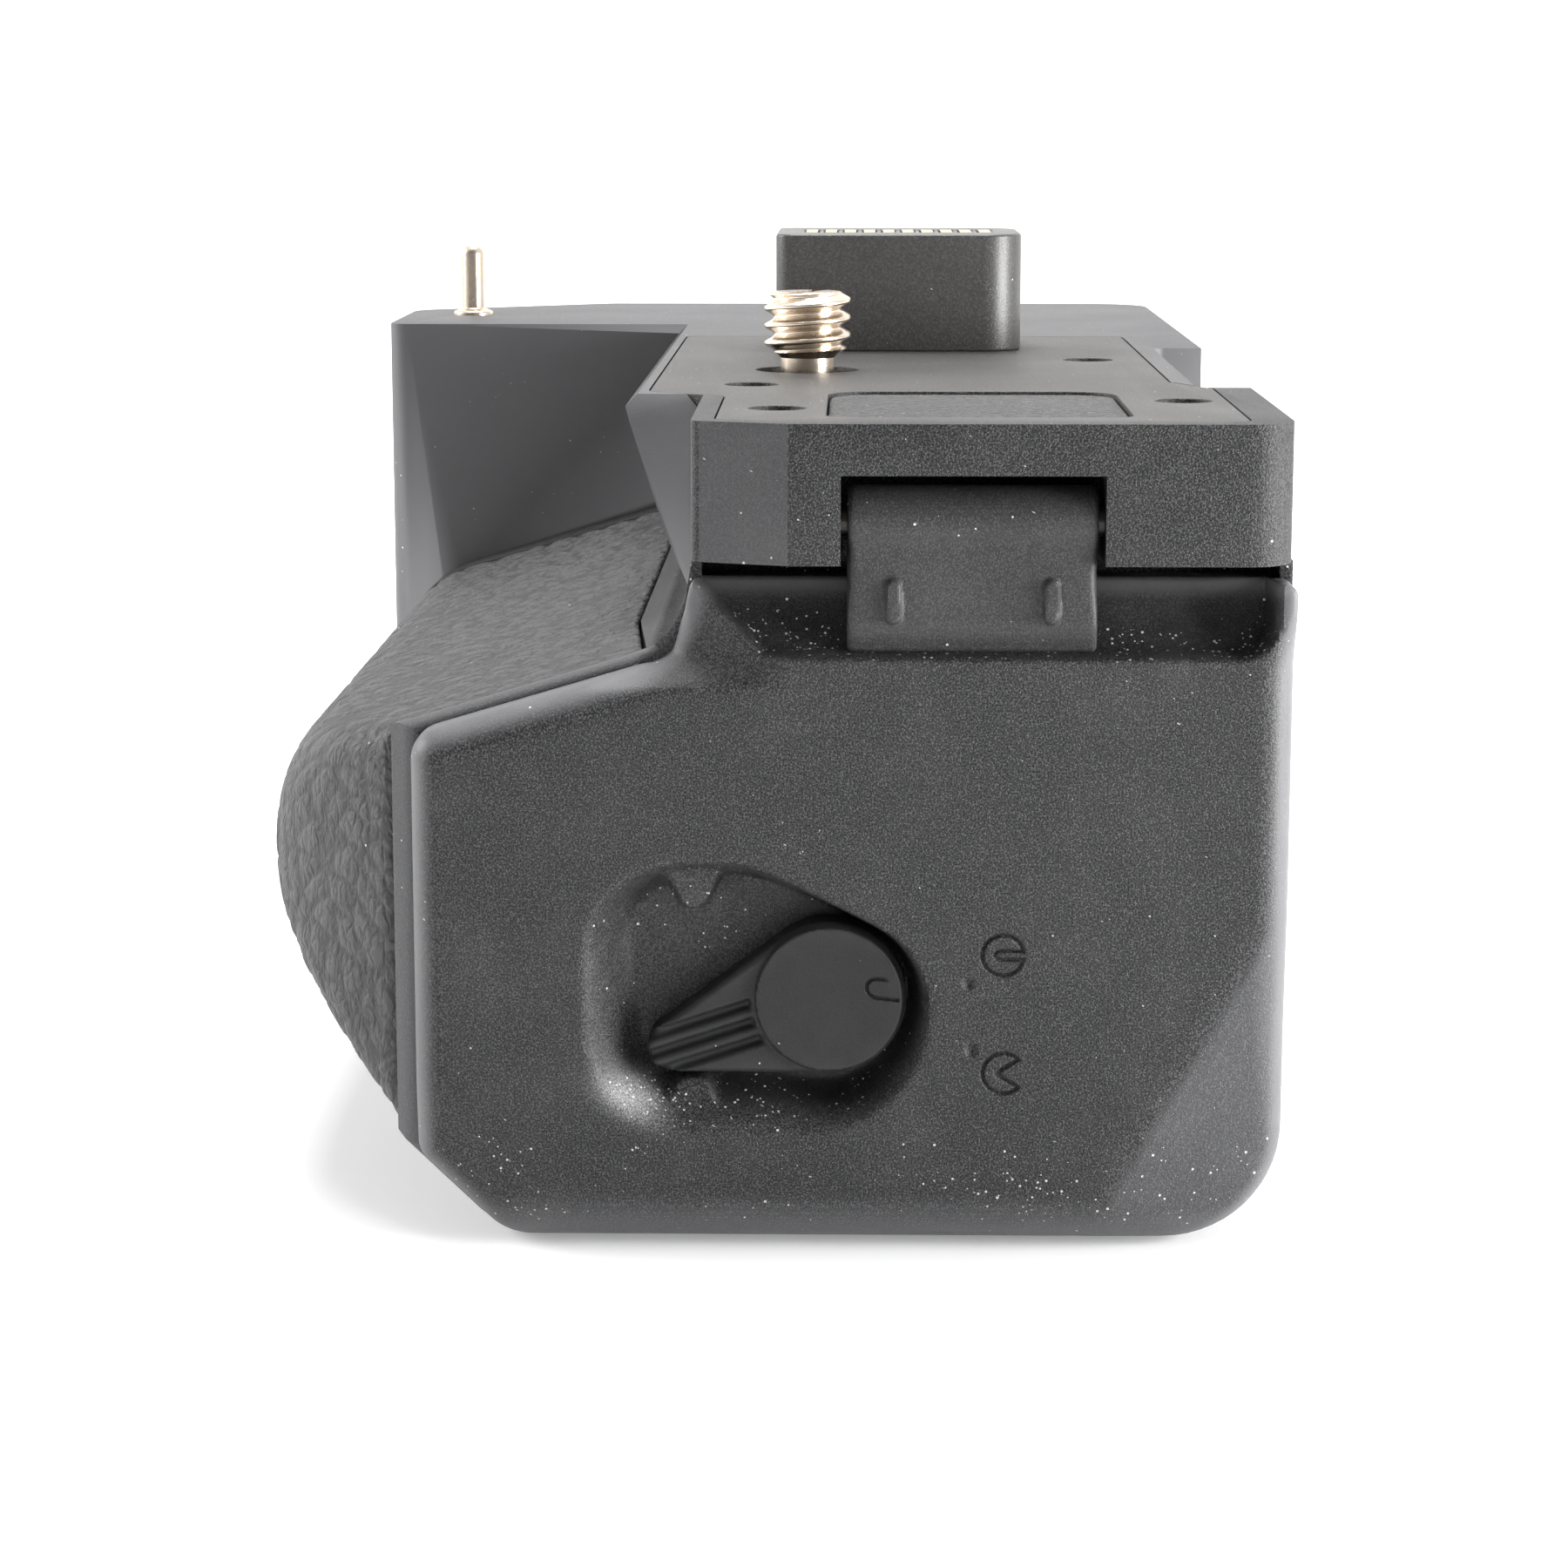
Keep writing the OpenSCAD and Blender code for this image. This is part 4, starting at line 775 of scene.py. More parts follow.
class Workshop:
    """Makes pieces, puts finishes on them and says which body carries them."""

    def __init__(self, nodes: dict[str, bpy.types.Object], record: dict) -> None:
        """Notes the frame's nodes and which body each rides on.

        Args:
            nodes: The frame's CAD objects by name.
            record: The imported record.
        """
        self.nodes = nodes
        self.body_of = {n: b for b, members in record["behaviour"]["bodies"].items() for n in members}
        self.effects = Effect()
        self.made: dict[str, bpy.types.Material] = {}

    def finish(self, finish: Finish) -> bpy.types.Material:
        """The material of a finish, made once."""
        if finish.name not in self.made:
            self.made[finish.name] = finish.make(self.effects)
        return self.made[finish.name]

    def dress(self, finish: Finish, *nodes: str) -> None:
        """Gives CAD nodes that stay in view their finish."""
        for node in nodes:
            mesh = self.nodes[node].data
            mesh.materials.clear()
            mesh.materials.append(self.finish(finish))
            LOG.info("%s keeps its solid, in %s", node, finish.name)

    def piece(self, name: str, surface: Surface, finish: Finish, replaces: Sequence[str],
              smooth: float = 40.0, closed: bool = False) -> bpy.types.Object:
        """Makes a piece from a surface.

        Args:
            name: Name of the piece.
            surface: Its points in millimetres, and its faces.
            finish: Its finish.
            replaces: CAD nodes it stands for.
            smooth: Largest angle, in degrees, that is shaded round.
            closed: Whether its open back gets one flat face.

        Returns:
            The object.
        """
        mesh = bpy.data.meshes.new(name)
        mesh.vertices.add(len(surface.points))
        mesh.vertices.foreach_set("co", (surface.points * MM).astype(np.float32).ravel())
        mesh.loops.add(surface.faces.size)
        mesh.loops.foreach_set("vertex_index", surface.faces.astype(np.int32).ravel())
        mesh.polygons.add(len(surface.faces))
        mesh.polygons.foreach_set("loop_start", np.arange(0, surface.faces.size, 4, dtype=np.int32))
        mesh.update(calc_edges=True)
        for key, values in surface.paint.items():
            mesh.attributes.new(key, "FLOAT", "POINT").data.foreach_set("value", values.astype(np.float32))
        bm = bmesh.new()
        bm.from_mesh(mesh)
        bmesh.ops.remove_doubles(bm, verts=bm.verts, dist=0.002 * MM)
        bmesh.ops.dissolve_degenerate(bm, edges=bm.edges, dist=0.001 * MM)
        if closed:
            bmesh.ops.holes_fill(bm, edges=[e for e in bm.edges if e.is_boundary])
        bm.to_mesh(mesh)
        bm.free()
        return self.hold(name, mesh, finish, replaces, smooth)

    def softened(self, node: str, finish: Finish, width: float, name: str | None = None,
                 passes: Sequence[tuple[float, Callable[[bmesh.types.BMEdge], bool]]] = (),
                 ends: Sequence[float] = (), band: float = 0.0,
                 smooth_and_sheen: Callable[[Array, Array], Array] | None = None) -> bpy.types.Object:
        """Copy of a CAD node with its sharp outer edges rounded.

        Args:
            node: CAD node.
            finish: Finish of the copy.
            width: Width of the rounding in millimetres, on all sharp edges, where no passes are given.
            name: Name of the copy.
            passes: Width, and a test that chooses edges, of each rounding.
            ends: Where along X flat ends keep the triangles they come with.
            band: How far the grain fades, and the colour is painted lighter as sheen, on the rounded edges.
            smooth_and_sheen: How far the grain fades, and the colour is painted lighter as sheen, on a face,
                from its middle in millimetres and its normal.

        Returns:
            The object.
        """
        name = name or node + "_body"
        bm = bmesh.new()
        bm.from_mesh(self.nodes[node].data)
        bmesh.ops.remove_doubles(bm, verts=bm.verts, dist=0.002 * MM)
        inner = [e for e in bm.edges if not any(
            abs(f.calc_center_median().x - whole * MM) < 0.01 * MM and f.normal.x > 0.99
            for f in e.link_faces for whole in ends)]
        bmesh.ops.dissolve_limit(bm, angle_limit=math.radians(0.6), verts=bm.verts, edges=inner)
        smooth_and_sheen_layer = bm.faces.layers.float.new("smooth_and_sheen")
        for wide, chosen in passes or [(width, lambda e: True)]:
            sharp = [e for e in bm.edges if len(e.link_faces) == 2 and e.is_convex
                     and e.calc_face_angle() > math.radians(32.0) and chosen(e)]
            rolled_over = bmesh.ops.bevel(bm, geom=sharp, offset=wide * MM, offset_type="OFFSET", segments=4,
                                          profile=0.5, affect="EDGES", clamp_overlap=wide < 0.5)
            # Rounded faces: grain faded and colour painted lighter as sheen.
            for f in rolled_over["faces"]:
                f[smooth_and_sheen_layer] = band
        mesh = bpy.data.meshes.new(name)
        bm.to_mesh(mesh)
        bm.free()
        if smooth_and_sheen is not None:
            self._smooth_and_sheen_faces(mesh, smooth_and_sheen)
        mesh.materials.clear()
        return self.hold(name, mesh, finish, [node], 30.0)

    @staticmethod
    def _smooth_and_sheen_faces(mesh: bpy.types.Mesh, smooth_and_sheen: Callable[[Array, Array], Array]) -> None:
        """Lets the grain fade, and paints the colour lighter as sheen, on faces chosen by their middle and
        normal.
        """
        middle, normal = (np.empty(3 * len(mesh.polygons), np.float32) for _ in range(2))
        mesh.polygons.foreach_get("center", middle)
        mesh.polygons.foreach_get("normal", normal)
        share = np.empty(len(mesh.polygons), np.float32)
        mesh.attributes["smooth_and_sheen"].data.foreach_get("value", share)
        share = np.maximum(share, smooth_and_sheen(middle.reshape(-1, 3) / MM, normal.reshape(-1, 3)))
        mesh.attributes["smooth_and_sheen"].data.foreach_set("value", share.astype(np.float32))

    def hold(self, name: str, mesh: bpy.types.Mesh, finish: Finish, replaces: Sequence[str],
             smooth: float) -> bpy.types.Object:
        """Links a mesh into the scene, shades it and puts it on its body.

        Args:
            name: Name of the object.
            mesh: Its mesh.
            finish: Its finish.
            replaces: CAD nodes it stands for; the first one's body carries it.
            smooth: Largest angle, in degrees, that is shaded round.

        Returns:
            The object.
        """
        mesh.polygons.foreach_set("use_smooth", np.ones(len(mesh.polygons), bool))
        mesh.set_sharp_from_angle(angle=math.radians(smooth))
        mesh.materials.append(self.finish(finish))
        piece = bpy.data.objects.new(name, mesh)
        bpy.context.scene.collection.objects.link(piece)
        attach(piece, self.body_of[replaces[0]])
        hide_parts(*replaces)
        LOG.info("%s: %d faces, in %s", name, len(mesh.polygons), finish.name)
        return piece


@dataclass
class BatteryDoor:
    """Moulded door: rounded face with lever recess, icons, scoop and facets, its back, and the hinge arm."""

    face_x: float = 46.4
    part_x: float = 43.0
    lip_z: float = 43.1
    recess_d: float = 3.8
    facet: float = 0.2126
    scoop: tuple[float, float, float] = (48.4, 43.5, 6.0)
    icon_r: float = 1.3
    groove: float = 0.1
    mark_d: float = 0.24
    dot_d: float = 0.3
    lock_at: tuple[float, float] = (12.95, 19.58)
    open_at: tuple[float, float] = (13.03, 11.92)
    dots_at: tuple[tuple[float, float], ...] = ((10.81, 17.75), (11.04, 13.43))
    fins: tuple[tuple[float, ...], ...] = ((-6.72, 8.6, 11.3, 4.2, 2.0), (-6.65, 24.9, 21.9, 4.4, 1.4))
    arm_y: float = 10.85
    arm_half: float = 7.8
    arm_round: float = 0.45
    outline: Outline = field(default_factory=lambda: Outline.rounded([
        (31.0, 0.4, 7.5), (31.0, 43.1, 0.8), (-6.7, 43.1, 0.8), (-7.711, 38.245, 5.0),
        (-24.45, 33.265, 2.2), (-24.45, 5.954, 1.8), (-18.79, 0.4, 4.0)]))
    recess: Outline = field(default_factory=lambda: Outline.rounded([
        (-13.8, 7.75, 6.4), (8.45, 7.75, 8.0), (8.45, 19.77, 6.0), (-3.1, 25.6, 8.0), (-13.8, 25.6, 6.4)]))
    ledge: Outline = field(default_factory=lambda: Outline.rounded([
        (29.8, 38.4, 2.5), (29.8, 48.2, 0.0), (-6.5, 48.2, 0.0), (-6.5, 42.9, 0.0), (-2.2, 38.4, 0.8)]))

    def rim(self, y: Array, z: Array) -> Array:
        """Radius of the rim: larger at the foot, less where the facet thins the door, crisp at the slit."""
        r = 2.0 + 1.0 * ease(12.0, 3.0, z)
        room = self.face_x - self.part_x - 0.45 - self.facet * np.clip(self._past(y, z), 0.0, None)
        return np.minimum(r, room) * (1.0 - ease(37.5, 42.0, z)) + 0.3

    @staticmethod
    def _past(y: Array, z: Array) -> Array:
        """Distance past the line where the lower rear facet starts."""
        return (y - 20.5) * 0.8709 - (z - 5.0) * 0.4914

    def face(self, y: Array, z: Array) -> Array:
        """Height of the face: a plane, less the facets, scoop and recess, plus the fins, less the icons."""
        x = np.full_like(y, self.face_x)
        x = soft_min(x, self.face_x - self.facet * self._past(y, z), 0.3)
        x = x - 0.377 * ease(36.2, 38.6, z) * soft_max(-0.6 - y, np.zeros_like(y), 0.5)
        sx, sz, sr = self.scoop
        floor = sx - np.sqrt(np.clip(sr * sr - (z - sz) ** 2, 0.01, None))
        cut = np.clip(x - floor, 0.0, None) * ease(0.2, -0.5, self.ledge.signed(y, z))
        x = x - cut
        x = x - self.recess_d * self._recess_share(y, z)
        for fin in self.fins:
            x = self._fin(x, y, z, *fin)
        return x - self.mark_d * self._marks(y, z) - self.dot_d * self._dots(y, z)

    def _recess_share(self, y: Array, z: Array) -> Array:
        """Share of the recess depth: steep wall beside the disc, long slope towards the finger."""
        angle = np.arctan2(z - 16.5, y + 2.0)
        width = 2.49 - 1.08 * np.cos(angle) + 0.04 * np.cos(2.0 * angle) - 1.05 * np.sin(angle)
        return ease(0.0, 1.0, -self.recess.signed(y, z) / width)

    def _fin(self, x: Array, y: Array, z: Array, mid: float, root: float, tip: float,
             root_w: float, tip_w: float) -> Array:
        """Stop fin: a small wedge that tapers from its root in the wall to its tip."""
        t = np.clip((z - root) / (tip - root), -0.3, 1.2)
        half = 0.5 * (root_w + (tip_w - root_w) * t)
        inside = soft_min(half - np.abs(y - mid), (1.0 - t) * abs(tip - root), 0.6)
        top = self.face_x - 1.1 - 0.9 * t
        lifted = soft_max(x, top, 0.25)
        return x + (lifted - x) * ease(-0.15, 0.3, inside) * ease(-0.3, -0.05, t)

    def _marks(self, y: Array, z: Array) -> Array:
        """Two engraved state marks, a closed lock and an open one: the outlines of notched discs."""
        (ly, lz), (oy, oz) = self.lock_at, self.open_at
        slot = np.hypot(np.minimum(y - ly + 0.23, 0.0), z - lz) - 0.27
        locked = np.maximum(np.hypot(y - ly, z - lz) - self.icon_r, -slot)
        wedge = np.hypot(z - oz, 0.15) * 0.857 - (y - oy + 0.59) * 0.514
        opened = np.maximum(np.hypot(y - oy, z - oz) - self.icon_r, -wedge)
        line = np.minimum(np.abs(locked), np.abs(opened))
        return ease(self.groove + 0.07, self.groove - 0.07, line)

    def _dots(self, y: Array, z: Array) -> Array:
        """Round dimples, one beside each mark."""
        return ease(0.58, 0.0, np.min([np.hypot(y - dy, z - dz) for dy, dz in self.dots_at], axis=0))

    def paint(self, y: Array, z: Array) -> dict[str, Array]:
        """Shares of painted shade in the marks, the scoop and the recess floor, of dust in the hollows, of
        polish with a painted highlight where a finger has rubbed, and of smoother grain with painted sheen.
        """
        share = self._recess_share(y, z)
        hollow = 1.6 * 4.0 * share * (1.0 - share) * ease(14.0, 10.0, z) + 0.3 * share
        ledge = 1.2 * ease(0.3, -0.4, self.ledge.signed(y, z)) * ease(41.5, 38.8, z)
        foot = 0.35 * ease(9.5, 4.5, z) * ease(1.0, 3.0, z)
        # Rubbed patch by the recess: polished, with a painted highlight.
        rubbed = np.exp(-(((y + 10.7) / 1.9) ** 2) - ((z - 10.0 + 0.4 * (y + 10.7)) / 1.1) ** 2)
        # Painted sheen: the rim painted lighter, the foot band lighter as a painted reflection of the floor,
        # the lower rear facet a little lighter; their grain smoother.
        rim = np.maximum(0.8 * ease(-1.6, -0.3, self.outline.signed(y, z)), 0.75 * ease(4.4, 0.4, z))
        smooth_and_sheen = np.maximum(0.28 * ease(-0.3, 0.7, self._past(y, z)), rim)
        # Painted shade in the scoop under the end block.
        shade = 0.6 * ease(0.4, -0.8, self.ledge.signed(y, z))
        # Painted shade on the recess floor beside the lever, to its right and below it, but not at the lower
        # fin.
        fin = ease(2.2, 1.6, np.abs(y + 6.72)) * ease(11.9, 11.2, z)
        shaded = np.maximum(ease(-3.0, 3.0, y), ease(14.0, 10.0, z))
        deep = 0.85 * (1.0 - fin) * ease(0.15, 0.7, share) * shaded
        # Painted shade in the engraved marks, joined with the shade above.
        painted_shade = np.maximum(np.maximum(0.12 * self._marks(y, z), shade), deep)
        dust = np.maximum(np.maximum(hollow, ledge), foot)
        return {"painted_shade": painted_shade, "dust": dust, "polish_and_highlight": rubbed, "smooth_and_sheen": smooth_and_sheen}

    def front(self) -> Surface:
        """The face with its rim and the wall back to the parting line."""
        fine = Relief(self.outline, self.face, self.rim, self.part_x, paint=self.paint)
        return fine.build(
            lines(-25.4, 31.4, 0.26, [(-7.2, -1.6, 0.13), (9.9, 14.7, 0.055)]),
            lines(0.0, 43.5, 0.26, [(10.4, 14.0, 0.055), (17.0, 21.2, 0.055), (37.9, 43.2, 0.13)]))

    def arm(self) -> Surface:
        """Hinge arm: one closed profile in XZ, carried along Y.

        The profile runs round the barrel, down the front face to a hollow foot and up the back.
        Both ends are rolled over, the middle is drawn in a little, and two ribs stand on the front.
        """
        a = np.radians(np.linspace(180.0, 0.0, 25))
        barrel = np.stack([43.8 + 2.2 * np.cos(a), 46.8 + 2.2 * np.sin(a)], 1)
        z = np.linspace(46.65, 38.75, 54)
        front = np.stack([45.85 - 0.6 * ease(40.6, 38.6, z) + 0.15 * ease(45.4, 46.6, z), z], 1)
        foot = np.stack([np.linspace(45.0, 41.9, 8), np.full(8, 38.6)], 1)
        back = np.stack([np.full(14, 41.6), np.linspace(39.2, 46.6, 14)], 1)
        ring = np.concatenate([barrel, front, foot, back])
        middle = np.array([43.7, 43.6])
        turn = np.linspace(0.0, math.pi / 2.0, 6)
        half, r = self.arm_half, self.arm_round
        over = r * (1.0 - np.cos(turn[1:]))
        y = np.concatenate([[-half], over - half, np.linspace(-7.2, 7.2, 110), half - over[::-1], [half]])
        near = half - np.abs(y)
        inset = np.where(near < r, r - np.sqrt(np.clip(r ** 2 - (r - near) ** 2, 0.0, None)), 0.0)
        away = ring - middle
        length = np.linalg.norm(away, axis=1)
        drawn = middle + away[None] * (1.0 - inset[:, None] / length[None])[..., None]
        grid = np.empty((len(y), len(ring), 3))
        grid[..., 0], grid[..., 2] = drawn[..., 0], drawn[..., 1]
        waist = 1.0 - 0.022 * np.exp(-(((grid[..., 2] - 43.6) / 2.4) ** 2))
        grid[..., 1] = self.arm_y + y[:, None] * waist
        on_front = grid[..., 0] > 45.0
        off = np.abs(np.abs(grid[..., 1] - self.arm_y) - 4.9)
        rib = ease(0.6, 0.36, np.hypot(off, np.clip(np.abs(grid[..., 2] - 41.95) - 0.9, 0.0, None)))
        grid[..., 0] += np.where(on_front, 0.5 * rib, 0.0)
        ends = [np.tile([middle[0], self.arm_y + side, middle[1]], (1, len(ring), 1))
                for side in (-half, half)]
        return sheet(np.concatenate([ends[0], grid, ends[1]]), closed=True).flipped()

    def back(self, shop: Workshop) -> bpy.types.Object:
        """Back of the door: the CAD solid's faces behind the parting line, drawn in to the face's outline."""
        bm = bmesh.new()
        bm.from_mesh(shop.nodes["battery_door"].data)
        bmesh.ops.remove_doubles(bm, verts=bm.verts, dist=0.002 * MM)
        sx, sz, sr = self.scoop
        drop = []
        for f in bm.faces:
            c = f.calc_center_median() / MM
            scooped = abs(math.hypot(c.x - sx, c.z - sz) - sr) < 0.1 and c.x > 41.0
            sunk = c.x > 42.3 and -15.0 < c.y < 9.5 and 7.0 < c.z < 26.5
            if c.x > self.part_x + 0.02 or c.z > self.lip_z + 0.05 or scooped or sunk:
                drop.append(f)
        bmesh.ops.delete(bm, geom=drop, context="FACES")
        mesh = bpy.data.meshes.new("door_back")
        bm.to_mesh(mesh)
        bm.free()
        points = np.empty(3 * len(mesh.vertices), np.float32)
        mesh.vertices.foreach_get("co", points)
        points = points.reshape(-1, 3) / MM
        d, foot, _ = self.outline.nearest(points[:, 1:].astype(float))
        proud = (d > 0.0) & (points[:, 0] > 42.9) & (points[:, 2] < 40.0)
        points[:, 1:] = np.where(proud[:, None], foot, points[:, 1:])
        mesh.vertices.foreach_set("co", (points * MM).ravel())
        mesh.materials.clear()
        return shop.hold("door_back", mesh, FINE, ["battery_door"], 30.0)

    def build(self, shop: Workshop) -> None:
        """Makes the door's pieces and dresses its fittings."""
        shop.piece("door_face", self.front(), FINE, ["battery_door"], 50.0)
        shop.piece("door_hinge_arm", self.arm(), ARM, ["battery_door"], 50.0)
        self.back(shop)
        shop.dress(DARK_PIN, "door_hinge_pin")
        shop.dress(CHAMBER, "door_inner_cover")
        shop.dress(STEEL, "door_cover_screws")


@dataclass
class LatchLever:
    """Lever in the door's recess: a disc with an index mark, and a ribbed arm."""

    pivot: tuple[float, float] = (2.0, 16.5)
    disc_r: float = 4.9
    tip_r: float = 1.6
    reach: float = 10.5
    low_x: float = 42.9
    arm_x: float = 45.35
    disc_x: float = 45.75
    edge_r: float = 0.42
    groove_d: float = 0.45
    index_d: float = 0.2

    @property
    def lean(self) -> float:
        """Angle by which the arm's middle line dips, so that its lower edge lies level."""
        return math.asin((self.disc_r - self.tip_r) / self.reach)

    def outline(self) -> Outline:
        """Disc and tip joined by their two tangents."""
        out = math.pi + self.lean
        side = math.acos((self.disc_r - self.tip_r) / self.reach)
        tip = np.linspace(out - side, out + side, 19)
        disc = np.linspace(out + side, out + 2.0 * math.pi - side, 70)
        mid = np.array(self.pivot)
        end = mid + self.reach * np.array([math.cos(out), math.sin(out)])
        return Outline(np.concatenate([end + self.tip_r * np.stack([np.cos(tip), np.sin(tip)], 1),
                                       mid + self.disc_r * np.stack([np.cos(disc), np.sin(disc)], 1)]))

    def face(self, y: Array, z: Array) -> Array:
        """Height: the arm's level, the raised disc, less three finger grooves and the index mark."""
        r = np.hypot(y - self.pivot[0], z - self.pivot[1])
        x = self.arm_x + (self.disc_x - self.arm_x) * ease(4.75, 4.6, r)
        return x - self.groove_d * self.grooves(y, z) - self.index_d * self.index(y, z)

    def grooves(self, y: Array, z: Array) -> Array:
        """Share of the finger grooves' depth: three lanes along the arm, each of a soft round section."""
        dy, dz = y - self.pivot[0], z - self.pivot[1]
        along = -(dy * math.cos(self.lean) + dz * math.sin(self.lean))
        across = dz * math.cos(self.lean) - dy * math.sin(self.lean)
        wave = np.abs((across / 1.2 + 0.5) % 1.0 - 0.5) * 1.2
        lane = ease(1.95, 1.8, np.abs(across))
        return ease(0.46, 0.12, wave) * lane * ease(4.85, 5.2, np.hypot(dy, dz)) * (along > 0.0)

    def index(self, y: Array, z: Array) -> Array:
        """Index mark: a line that runs in from the disc's edge, turns round a half circle and ends."""
        ring = np.abs(np.hypot(y - np.clip(y, 5.0, 9.0), z - 17.2 + 0.11 * (y - 5.5)) - 0.62)
        open_end = ease(5.3, 5.9, y) * ease(17.0, 17.3, z)
        return ease(0.13, 0.06, ring) * ease(6.5, 6.35, y) * (1.0 - open_end)

    def paint(self, y: Array, z: Array) -> dict[str, Array]:
        """Share of painted shade in the index mark and the grooves."""
        return {"painted_shade": np.maximum(0.5 * self.index(y, z), 0.45 * self.grooves(y, z))}

    def build(self, shop: Workshop) -> None:
        """Makes the lever and dresses the shaft and the bolt."""
        relief = Relief(self.outline(), self.face, lambda y, z: np.full_like(y, self.edge_r), self.low_x,
                        paint=self.paint)
        body = relief.build(lines(-10.4, 7.4, 0.11, [(4.2, 6.6, 0.055)]),
                            lines(11.2, 21.8, 0.11, [(16.3, 18.1, 0.055)]))
        shop.piece("latch_lever_body", body, SMOOTH, ["latch_lever"], 50.0, closed=True)
        shop.dress(STEEL, "latch_shaft", "latch_bolt")


@dataclass
class HandGrip:
    """Leather-grained pad round the hand grip, and the thumb pad behind."""

    near_x: float = 41.12
    far_x: float = -49.9
    spine: tuple[float, float] = (-14.0, 18.0)
    low: tuple[float, float] = (-21.6, 2.5)
    arc_x: float = 8.0
    arc_r: float = 47.54
    bulge: float = 40.0
    grain_d: float = 0.18

    def outside(self, x: Array, y: Array, z: Array) -> Array:
        """Distance outside the grip's form: smooth mix of its section's lines and its plan's arc."""
        slope = -0.285 * (y + 33.5) + 0.9585 * (z - 31.2)
        wall = -0.9859 * (y + 7.6) + 0.1674 * (z - 38.9)
        brow = -0.8547 * (y + 33.5) + 0.5192 * (z - 31.2)
        under = -0.7001 * (y + 40.0) - 0.7140 * (z - 20.5)
        section = soft_max(soft_max(soft_min(slope, wall, 3.0), brow, 2.4), under, 7.8)
        ahead = np.clip(x - self.arc_x, 0.0, None)
        plan = np.hypot(ahead, y + self.bulge - self.arc_r) - self.arc_r
        plan = soft_max(plan, -0.2545 * (x + 45.0) - 0.967 * (y + 40.0), 1.0)
        return soft_max(section, plan, 2.2 + 2.8 * ease(40.0, 12.0, x))

    def border(self, x: Array) -> Array:
        """Where the pad's upper border lies along Y: near the shoulder at the door, further out behind."""
        return -9.75 - 1.25 * np.clip((self.near_x - x) / 16.0, 0.0, 1.0)

    def pad(self) -> Surface:
        """Pad: rays from a spine out to the form, from the upper border to the lower one.

        At each station the ray at angle a meets the form at the distance where outside is zero,
        found by halving.
        The rim is rolled in over its last half millimetre.
        """
        edge = np.array([0.0, 0.08, 0.2, 0.4, 0.7])
        x = np.concatenate([self.near_x - edge, np.linspace(self.near_x - 1.1, self.far_x + 1.1, 330),
                            (self.far_x + edge)[::-1]])
        v = np.concatenate([edge / 60.0, np.linspace(0.02, 0.98, 230), 1.0 - (edge / 60.0)[::-1]])
        y = self.border(x)
        first = np.arctan2(38.9 + 0.2973 * (y + 7.6) + 0.1 - self.spine[1], y - self.spine[0])
        foot = math.atan2(self.low[1] - self.spine[1], self.low[0] - self.spine[0])
        last = np.full_like(x, foot + 2.0 * math.pi)
        a = first[:, None] + (last - first)[:, None] * v[None]
        xx = np.broadcast_to(x[:, None], a.shape)
        near, far = np.full_like(a, 2.0), np.full_like(a, 60.0)
        for _ in range(34):
            r = 0.5 * (near + far)
            out = self.outside(xx, self.spine[0] + r * np.cos(a), self.spine[1] + r * np.sin(a)) > 0.0
            near, far = np.where(out, near, r), np.where(out, r, far)
        deep = self.grain(xx, np.stack([r * np.cos(a), r * np.sin(a)], -1))
        r = r - self.grain_d * (1.0 - ease(0.0, 0.5, deep))
        end = np.minimum(np.minimum(self.near_x - xx, xx - self.far_x), np.minimum(v, 1.0 - v)[None] * 60.0)
        r = r - 0.5 * (1.0 - np.sqrt(np.clip(1.0 - (1.0 - np.clip(end / 0.5, 0.0, 1.0)) ** 2, 0.0, 1.0)))
        inner = r - 1.0
        grid = np.stack([xx, self.spine[0] + r * np.cos(a), self.spine[1] + r * np.sin(a)], -1)
        under = np.stack([xx, self.spine[0] + inner * np.cos(a), self.spine[1] + inner * np.sin(a)], -1)
        grid = np.concatenate([under[:1], grid, under[-1:]])
        left = np.concatenate([under[:1, 0], under[:, 0], under[-1:, 0]])[:, None]
        right = np.concatenate([under[:1, -1], under[:, -1], under[-1:, -1]])[:, None]
        surface = sheet(np.concatenate([left, grid, right], 1))
        # Creases between the pebbles darkened as painted shade.
        return Surface(surface.points, surface.faces, {"painted_shade": np.pad(ease(0.3, 0.06, deep), 1).ravel()})

    @staticmethod
    def grain(x: Array, section: Array) -> Array:
        """Pebbles of the leather, longer round the hand than along it; the rows are bent by two slow waves.

        Args:
            x: Station along the grip.
            section: Place in the section, the second axis running round the pad.

        Returns:
            Depth inside each pebble.
        """
        step = np.linalg.norm(np.diff(section, axis=1, prepend=section[:, :1]), axis=2)
        u, v = x / 2.2, np.cumsum(step, axis=1) / 2.4
        bent = u + 0.35 * v + 0.4 * np.sin(0.8 * v + 1.7 * np.sin(0.31 * u))
        return pebbles(bent, v + 0.4 * np.sin(0.9 * u + 1.3 * np.sin(0.43 * v)))

    def build(self, shop: Workshop) -> None:
        """Makes both pads."""
        shop.piece("front_pad_leather", self.pad(), HIDE, ["front_pad"], 60.0)
        shop.softened("thumb_pad", LEATHER, 0.5, "thumb_pad_leather")


